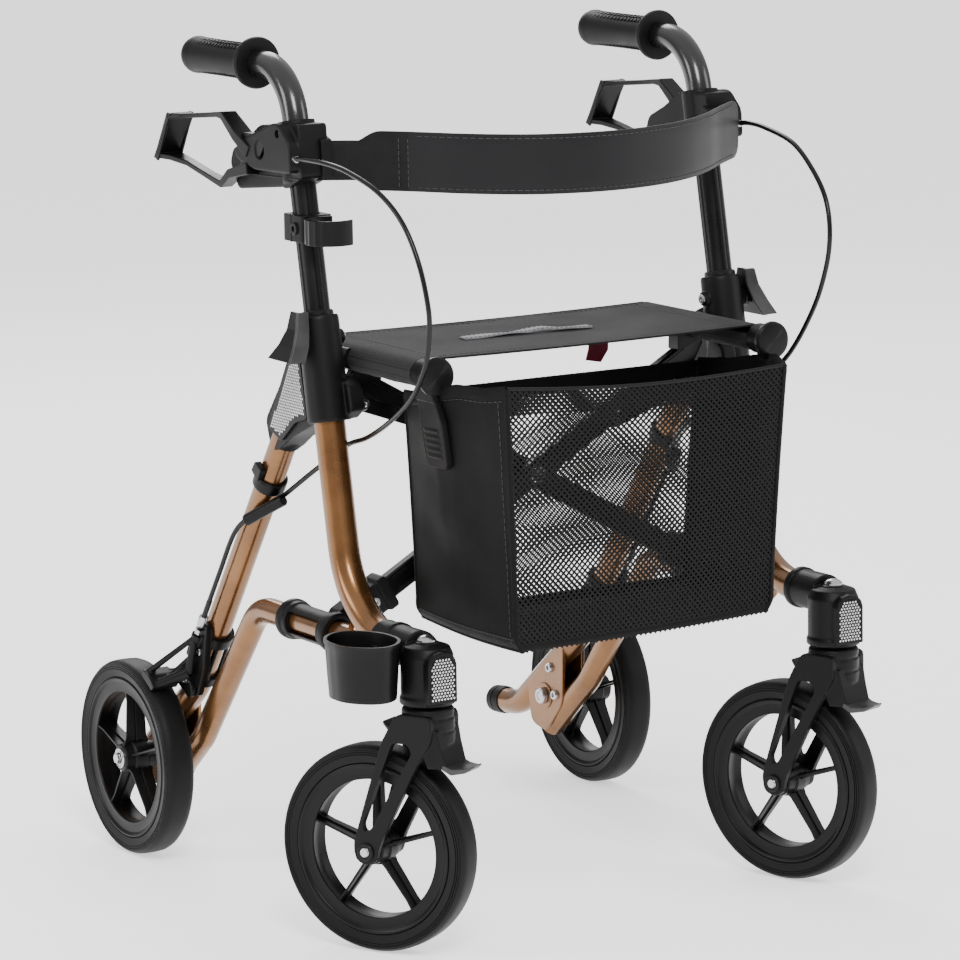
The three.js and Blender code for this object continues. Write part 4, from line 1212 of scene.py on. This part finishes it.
def between_bars(piece):
    """Bakes the piece's placement into its mesh; the piece is attached to no body."""
    world((-170, -113, 555))
    world((170, -113, 555))
    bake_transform(piece)


def seat():
    """Cloth that wraps both rails and spans between them, a little slack."""
    x_rail, z_rail = RAIL
    wrap = 12.4
    profile = []
    for k in range(WRAP_STEPS):
        angle = math.radians(-205 + 295 * k / (WRAP_STEPS - 1))
        profile.append((x_rail + wrap * math.cos(angle), z_rail + wrap * math.sin(angle)))
    flat = 48
    for k in range(1, flat):
        profile.append((x_rail - 2 * x_rail * k / flat, None))
    profile += [(-x, z) for x, z in reversed(profile[:WRAP_STEPS])]
    count = len(profile) - 1

    def spot(u, v):
        x, z = profile[round(u * count)]
        y = SEAT_FRONT + (SEAT_BACK - SEAT_FRONT) * v
        if z is None:
            slack = 1 - (x / x_rail) ** 2
            z = z_rail + wrap - 1.6 * slack + ripple(x, y, 0, 70, 0.5) * slack
        elif z < z_rail:
            z += ripple(x * 3, y, z, 16, 0.8)
        y += ripple(x, 0, v * 900, 60, 0.8)
        return (x, y, z)

    sheet = grid_sheet("seat_cloth_panel", count, 60, spot, SEAT_CLOTH, 1.5)
    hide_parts("seat_panel")
    between_bars(sheet)

    def top(x, lift):
        return z_rail + wrap + lift - 1.6 * (1 - (x / 186) ** 2)

    hems = Form()
    for y in (SEAT_FRONT + 1.0, SEAT_BACK - 1.0):
        spots = [(x, y, top(x, 0.2)) for x in range(-186, 187, 12)]
        hems.sweep(smooth_line(spots, 2), [(u * 2.0, v * 1.2) for u, v in circle(1, 10)], Vector((0, 1, 0)))
    stitches = Form()
    for y in (SEAT_FRONT + 11.0, SEAT_BACK - 11.0):
        stitches.merged(stitch_row([(x, y, top(x, 0.75))
                                    for x in range(-184, 185, 8)]))
    for x in (-168.0, 168.0):
        stitches.merged(stitch_row([(x, y, top(x, 0.75))
                                    for y in range(-206, -20, 8)]))
    for name, form, material in (("seat_hems", hems, SEAT_CLOTH), ("seat_stitches", stitches, THREAD)):
        piece = make(name, form, material, None)
        between_bars(piece)
    carry_strap()


def stitch_row(spots, length=3.2, gap=1.6):
    """Short threads laid end to end along a line of points."""
    form = Form()
    line = [p for p, _ in smooth_line(spots, 4)]
    travelled, start, laid = 0.0, line[0], True
    for a, b in zip(line, line[1:]):
        travelled += (b - a).length
        if travelled >= (length if laid else gap):
            if laid and (b - start).length > 0.5:
                form.rod(start, b, THREAD_RADIUS, sides=6)
            start, laid, travelled = b, not laid, 0.0
    return form


STRAP_ENDS = Vector((-88, -117, 0)), Vector((53, -123, 0))


def carry_row(t, across):
    """A point of the pull strap's upper face: t along it and across from -1 to 1."""
    arch = math.sin(math.pi * t)
    centre = STRAP_ENDS[0].lerp(STRAP_ENDS[1], t)
    pinch = math.exp(-((t - 0.62) / 0.1) ** 2)
    half = 7.4 - 3.4 * pinch
    lift = 555.6 + 1.0 * arch + 1.8 * pinch
    tilt = 1.1 * math.sin(t * 12 + 0.6) * arch
    return Vector((centre.x, centre.y + half * across, lift + tilt * across + 0.3 * (1 - across ** 2)))


def carry_strap():
    """The pull strap is sewn down at both ends and lies a little pinched between them."""
    count = 70
    rings = []
    for k in range(count + 1):
        upper = [carry_row(k / count, across) for across in (-1, -0.5, 0, 0.5, 1)]
        rings.append([p - Vector((0, 0, 1.3)) for p in upper] + upper[::-1])
    edges = Form()
    for across in (-0.8, 0.8):
        edges.merged(stitch_row([carry_row(k / 35, across) + Vector((0, 0, 0.15)) for k in range(36)],
                                2.6, 1.4))
    strap = make("carry_strap", Form().loft(rings), WEBBING, None, sharp=50)
    threads = make("carry_strap_stitches", edges, THREAD, None)
    for piece in (strap, threads):
        between_bars(piece)


# ---------- basket ----------

FRONT_Y, BACK_Y, FLOOR_Z = -310.0, -143.0, 292.0
PLAN = [  # y, half width at the rim, height of the rim
    (-310.0, 157.0, 536.0), (-290.0, 168.0, 533.0), (-262.0, 180.0, 534.0), (-240.0, 186.5, 530.0),
    (-214.0, 187.0, 525.0), (-180.0, 178.0, 517.0), (-143.0, 168.0, 513.0),
]
NET_PITCH = 6.1
YARN = 0.86


def plan_at(y):
    for (y0, w0, z0), (y1, w1, z1) in zip(PLAN, PLAN[1:]):
        if y <= y1:
            t = (y - y0) / (y1 - y0)
            return w0 + (w1 - w0) * t, z0 + (z1 - z0) * t
    return PLAN[-1][1:]


def foot_at(side, u):
    """The floor's half width and height along a side: it sags, more at the right front corner."""
    half = 150 + 8 * u if side < 0 else 139 + 11 * u
    return half, FLOOR_Z - 3.0 * math.sin(math.pi * u) - (7.0 * (1 - u) if side < 0 else 1.0 - u)


def side_wall(side, u, v):
    """u runs from front to back, v from the floor to the rim."""
    y = FRONT_Y + (BACK_Y - FRONT_Y) * u
    half, rim = plan_at(y)
    rim -= 6.0 * (1 - u) if side > 0 else 0.0
    foot, low = foot_at(side, u)
    z = low + (rim - low) * v
    x = foot + (half - foot) * v ** 1.3 - 7.0 * max(0.0, 1 - v / 0.05) ** 2
    belly = math.sin(math.pi * u) * math.sin(math.pi * min(1, v * 1.1))
    x += belly * 2.5 + ripple(y * 0.5, z, side * 40, 38, 4.2) * belly
    x += 2.0 * math.sin((y + 0.45 * z) / 9.0) * math.sin(math.pi * u) * max(0, v - 0.45) ** 1.5
    return Vector((side * x, y, z))


def front_wall(u, v):
    right, left = side_wall(-1, 0, v), side_wall(1, 0, v)
    bulge = math.sin(math.pi * u) * math.sin(math.pi * v)
    dip = 7.0 * math.sin(math.pi * u) * v ** 4 + 2.0 * math.sin(math.pi * u) * (1 - v) ** 4
    return right.lerp(left, u) + Vector((0, -5.0 * bulge, -dip))


def back_wall(u, v):
    right, left = side_wall(-1, 1, v), side_wall(1, 1, v)
    bulge = math.sin(math.pi * u) * math.sin(math.pi * v)
    return right.lerp(left, u) + Vector((0, 3.0 * bulge, 0))


def net(wall, width, height, shift=0.0, low=0.0, high=1.0):
    """A knotted net on a wall: strands run both ways between knots, which stand a little proud."""
    form = Form()
    columns = int(width / NET_PITCH)
    rows = int(height / NET_PITCH)
    knots = {}
    for j in range(2 * rows + 1):
        v = (j + shift) / (2 * rows)
        if not low <= v <= high:
            continue
        for i in range(2 * columns + 1):
            u = (i + shift) / (2 * columns)
            if (i + j) % 2 == 0 and u <= 1:
                knots[i, j] = wall(u, v)
    across = Vector((0, 1, 0))
    for (i, j), spot in knots.items():
        size = YARN * 1.28
        tips = [spot + Vector(d) * size for d in
                ((1, 0, 0), (0, 1, 0), (-1, 0, 0), (0, -1, 0), (0, 0, 1), (0, 0, -1))]
        form.shell(tips, [[0, 1, 4], [1, 2, 4], [2, 3, 4], [3, 0, 4], [1, 0, 5], [2, 1, 5], [3, 2, 5],
                          [0, 3, 5]])
        for step in (-1, 1):
            other = knots.get((i + step, j + 1))
            if other is None:
                continue
            way = (other - spot).normalized()
            over = way.cross(across).normalized()
            ring = [(over, YARN), (across, YARN * 0.8), (over, -YARN), (across, -YARN * 0.8)]
            ends = [p + way * (YARN * k) + d * r for p, k in ((spot, 0.3), (other, -0.3)) for d, r in ring]
            form.shell(ends, [[0, 1, 5, 4], [1, 2, 6, 5], [2, 3, 7, 6], [3, 0, 4, 7]])
    return form


def hang(piece):
    """A piece of the basket rides on the hook at the right rail."""
    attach(piece, "basket_hook")
    world((-190, 0, 0))
    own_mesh(piece)


def basket():
    for side, label in ((1, "left"), (-1, "right")):
        wall = grid_sheet(f"{label}_basket_side", 44, 56, lambda u, v, s=side: side_wall(s, u, v),
                          NYLON, 1.1)
        if side < 0:
            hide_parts("basket")
        hang(wall)
        hem = Form()
        spots = [side_wall(side, u / 24, 0.985) + Vector((side * 0.4, 0, 0)) for u in range(25)]
        hem.sweep(smooth_line(spots, 3), [(u * 1.5, v * 6.5) for u, v in circle(1, 12)], Vector((1, 0, 0)))
        for u in (0.004, 0.996):
            spots = [side_wall(side, u, v / 20) for v in range(21)]
            hem.sweep(smooth_line(spots, 3), circle(1.9, 10), Vector((1, 0, 0)))
        spots = [side_wall(side, u / 20, 0.006) for u in range(21)]
        hem.sweep(smooth_line(spots, 2), circle(1.9, 10), Vector((1, 0, 0)))
        hang(make(f"{label}_basket_hem", hem, NYLON, None, sharp=60))
        rows = Form()
        for v in (0.955, 0.05):
            spots = [side_wall(side, 0.02 + 0.96 * u / 24, v) + Vector((side * 0.9, 0, 0))
                     for u in range(25)]
            rows.merged(stitch_row(spots))
        spots = [side_wall(side, 0.045, 0.03 + 0.93 * v / 24) + Vector((side * 0.9, 0, 0))
                 for v in range(25)]
        rows.merged(stitch_row(spots))
        hang(make(f"{label}_basket_stitches", rows, THREAD, None))

    def floor_spot(u, v):
        right, left = side_wall(-1, v, 0), side_wall(1, v, 0)
        spot = right.lerp(left, u)
        sag = math.sin(math.pi * u) * math.sin(math.pi * v)
        return spot + Vector((0, 0, 1.0 - 3.0 * sag + ripple(spot.x, spot.y, 9, 40, 1.0)))

    bottom = grid_sheet("basket_floor", 50, 30, floor_spot, NYLON, 1.1)
    hang(bottom)
    bands = Form()
    for wall, v, half in ((front_wall, 0.016, 3.4), (back_wall, 0.965, 8.5), (back_wall, 0.016, 3.4)):
        spots = [wall(0.003 + 0.994 * u / 40, v) for u in range(41)]
        bands.sweep(smooth_line(spots, 1), [(a * 1.2, b * half) for a, b in circle(1, 10)],
                    Vector((0, 1, 0)))
    for wall in (front_wall, back_wall):
        for u in (0.004, 0.996):
            spots = [wall(u, v / 24) for v in range(25)]
            bands.sweep(smooth_line(spots, 1), circle(2.0, 10), Vector((0, 1, 0)))
    hang(make("basket_bindings", bands, NYLON, None, sharp=60))

    def lining(u, v):
        return front_wall(u, v) + Vector((0, 1.6, 0))

    nets = (
        ("basket_front_net", net(front_wall, 308, 242)),
        ("basket_back_net", net(back_wall, 308, 220)),
        ("basket_front_net_hem", net(lining, 308, 242, 0.5, 0.90, 1.0)),
        ("basket_front_net_foot", net(lining, 308, 242, 0.5, 0.0, 0.16)),
    )
    for name, form in nets:
        hang(make(name, form, NET, None, sharp=80))
    rim = Form()
    spots = [front_wall(0.003 + 0.994 * u / 40, 1.0) for u in range(41)]
    rim.sweep(smooth_line(spots, 1), circle(1.7, 8), Vector((0, 1, 0)))
    hang(make("basket_front_rim", rim, NET, None))
    tag = Form().loft([[(74, -92, 550), (92, -92, 550), (92, -90, 550), (74, -90, 550)],
                       [(72, -95, 538), (95, -93, 537), (95, -91, 537), (72, -93, 538)],
                       [(70, -96, 527), (92, -97, 525), (92, -95, 525), (70, -94, 527)],
                       [(68, -94, 516), (84, -96, 513), (84, -94, 513), (68, -92, 516)]])
    between_bars(make("red_pull_tag", tag, RED, None, bevel=0.4))


# ---------- back strap ----------

STRAP_PLAN = [
    (-217, -84), (-205, -88), (-188, -98), (-153, -133), (-116, -182), (-72, -220), (-25, -237), (25, -239),
    (75, -227), (120, -204), (160, -173), (195, -140), (220, -118), (238, -103), (246, -97),
]
STRAP_SEAM_X = -153.0


def strap_height(x):
    if x < -188:
        return 38.0
    if x < -172:
        return 38.0 + 19.0 * math.sin((x + 188) / 16 * math.pi / 2) ** 1.2
    return 57.0 - 10.0 * max(0.0, (x - 236) / 10) ** 2


def strap_stations(low, high):
    """The centre line's points between two x values, with the way forward and the way out of the face."""
    stations = []
    for spot, way in smooth_line([(x, y, 734.0) for x, y in STRAP_PLAN], 12):
        if low <= spot.x <= high:
            spot = spot - Vector((0, 0, 3.0 * (1 - (spot.x / 246) ** 2)))
            stations.append((spot, way.cross(Vector((0, 0, 1))).normalized()))
    return stations


def strap_band(low, high, thickness):
    rings = []
    levels = [-1 + 2 * j / 10 for j in range(11)]
    for spot, out in strap_stations(low, high):
        half = strap_height(spot.x) / 2
        puffs = [thickness / 2 * (1 - 0.55 * f ** 6) for f in levels]
        ring = [spot + out * puff + Vector((0, 0, half * f)) for f, puff in zip(levels, puffs)]
        ring += [spot - out * puff + Vector((0, 0, half * f))
                 for f, puff in reversed(list(zip(levels, puffs)))]
        rings.append(ring)
    return Form().loft(rings)


def back_strap():
    threads = Form()
    for f in (-0.86, 0.86):
        line = [spot + out * 2.05 + Vector((0, 0, 28.5 * f)) for spot, out in strap_stations(-150, 234)]
        threads.merged(stitch_row(line[::2]))
    for x in (-150.0, -157.0):
        spot, out = strap_stations(x - 3, x + 3)[0]
        threads.merged(stitch_row([spot + out * 2.3 + Vector((0, 0, h)) for h in range(-24, 25, 4)]))
    pieces = (
        ("strap_band", strap_band(STRAP_SEAM_X, 247, 4.6), LEATHER, ["back_strap"]),
        ("strap_end", strap_band(-218, STRAP_SEAM_X + 3, 3.4), LEATHER_END, []),
        ("strap_stitches", threads, THREAD, []),
    )
    for name, form, material, nodes in pieces:
        piece = make(name, form, material, None, nodes, sharp=50)
        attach(piece, "right_post")
        world((-FRAME_X, 0, 0))
        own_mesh(piece)
    clamps = Form()
    clamps.prism(rounded([(-96, 716), (-94, 754), (-82, 758), (-80, 714)], 3), "x", 214, 226)
    both("strap_clamp", clamps, PLASTIC, "post", bevel=1.5)


# ---------- cane holder, on the right side ----------

def cane_holder():
    y = post_y(670)
    collar = Form().prism(rounded([(-FRAME_X - 17, y - 20), (-FRAME_X + 16.5, y - 20),
                                   (-FRAME_X + 16.5, y + 19),
                                   (-FRAME_X - 17, y + 19)], 5), "z", 657, 683)
    arm = Form()
    centre = Vector((-FRAME_X, y - 44, 0))
    rings = []
    for k in range(41):
        angle = math.radians(55 + 250 * k / 40)
        bump = 0.7 if 12 < k < 28 and k % 3 == 0 else 0.0
        rings.append([centre + Vector((math.cos(angle) * r, math.sin(angle) * r, h))
                      for r, h in ((20.4, 658), (24 + bump, 658), (24 + bump, 682), (20.4, 682))])
    arm.loft(rings)
    cutter = Form().rod((-FRAME_X, post_y(640), 640), (-FRAME_X, post_y(700), 700), 13.0)
    make("clip_collar", collar, PLASTIC, "right_post", ["cane_clip"], cutter, bevel=0.8)
    make("clip_arm", arm, SATIN, "right_post", bevel=0.6)
    split = Form().slab((-FRAME_X - 17.4, y + 2, 656.6), (-FRAME_X - 16.4, y + 3, 683.4))
    hex_head(split, (-FRAME_X - 16.8, y - 6, 670), (-1, 0, 0), 6.0, 2.6)
    make("clip_screw", split, SATIN, "right_post")
    cup()


def cup_ring(scale, inset, z):
    ring = []
    for k in range(64):
        angle = 2 * math.pi * k / 64
        point = 1 + 0.12 * abs(math.sin(angle)) ** 3
        ring.append((-285 + (32 * scale - inset) * math.cos(angle) * (1 + 0.05 * abs(math.sin(2 * angle))),
                     -256 + (39 * scale * point - inset) * math.sin(angle), z))
    return ring


def cup():
    rows = [(0.88, 6, 250.0), (0.90, 0, 251.6), (0.91, 0, 256), (0.94, 0, 270), (0.97, 0, 288),
            (0.99, 0, 300),
            (1.0, -0.8, 303), (1.0, -0.8, 306), (1.0, 2.2, 306), (0.99, 2.6, 300), (0.94, 2.6, 270),
            (0.90, 3, 255),
            (0.5, 3, 254)]
    body = Form().loft([cup_ring(*row) for row in rows])
    make("cup_shell", body, SATIN, "right_frame", ["cane_cup"], sharp=40)
    bridge = Form().prism(rounded([(-262, -240), (-240, -242), (-240, -216), (-262, -222)], 3), "z",
                          266, 294)
    bridge.turned([(15.4, -8), (18.6, -8), (18.6, 8), (15.4, 8)], (-FRAME_X, -214, 291.4), (0, 1, 0.06),
                  40, ring=True)
    make("cup_bridge", bridge, PLASTIC, "right_frame", bevel=1.0)


# ---------- studio ----------

def studio():
    floor = bpy.data.meshes.new("floor")
    size = 40.0
    floor.from_pydata([(-size, -size, 0), (size, -size, 0), (size, size, 0), (-size, size, 0)], [],
                      [[0, 1, 2, 3]])
    obj = bpy.data.objects.new("floor", floor)
    bpy.context.scene.collection.objects.link(obj)
    obj.location.z = -0.0004
    material, nodes, links = new_material("pale_floor")
    shader = nodes["Principled BSDF"]
    set_sockets(shader, Roughness=0.9, Specular_IOR_Level=0.1, Emission_Strength=0.9)
    shader.inputs["Emission Color"].default_value = (1.0, 1.0, 1.0, 1.0)
    vector = object_coordinates(nodes, links)
    tone = spread(nodes, links, noise_value(nodes, links, vector, 2.0), 0.0, 1.0)
    links.new(blend_colours(nodes, links, tone, (0.93, 0.93, 0.93), (0.95, 0.95, 0.95)),
              shader.inputs["Base Color"])
    floor.materials.append(material)
    sky = bpy.data.worlds.new("studio")
    sky.use_nodes = True
    nodes, links = sky.node_tree.nodes, sky.node_tree.links
    direction = nodes.new("ShaderNodeTexCoord")
    split = nodes.new("ShaderNodeSeparateXYZ")
    links.new(direction.outputs["Generated"], split.inputs["Vector"])
    height = spread(nodes, links, split.outputs["Z"], 0.0, 1.0, (0.05, 0.75))
    colour = blend_colours(nodes, links, height, (0.42, 0.42, 0.43), (1.25, 1.25, 1.25))
    links.new(colour, nodes["Background"].inputs["Color"])
    nodes["Background"].inputs["Strength"].default_value = 0.85
    bpy.context.scene.world = sky
    lamps = (
        ("key", (-1.4, -2.8, 3.0), 1.1, 110.0), ("fill", (2.8, -2.0, 1.6), 1.4, 30.0),
        ("rim", (1.0, 2.8, 2.6), 1.6, 60.0), ("side", (-3.0, 0.6, 1.4), 1.0, 34.0),
    )
    for name, spot, size, power in lamps:
        data = bpy.data.lights.new(name, "AREA")
        data.shape = "RECTANGLE"
        data.size = size
        data.size_y = size * 1.4
        data.energy = power
        lamp = bpy.data.objects.new(name, data)
        lamp.location = spot
        lamp.rotation_euler = (Vector((0, 0, 0.45)) - Vector(spot)).to_track_quat("-Z", "Y").to_euler()
        bpy.context.scene.collection.objects.link(lamp)


side_frame()
joint_housings()
clamp_knobs()
handle_posts()
brake_housings()
brake_levers()
brake_cables()
rear_brakes()
rear_wheels()
knuckles()
casters()
braces()
rails_and_hangers()
seat()
basket()
back_strap()
cane_holder()
studio()
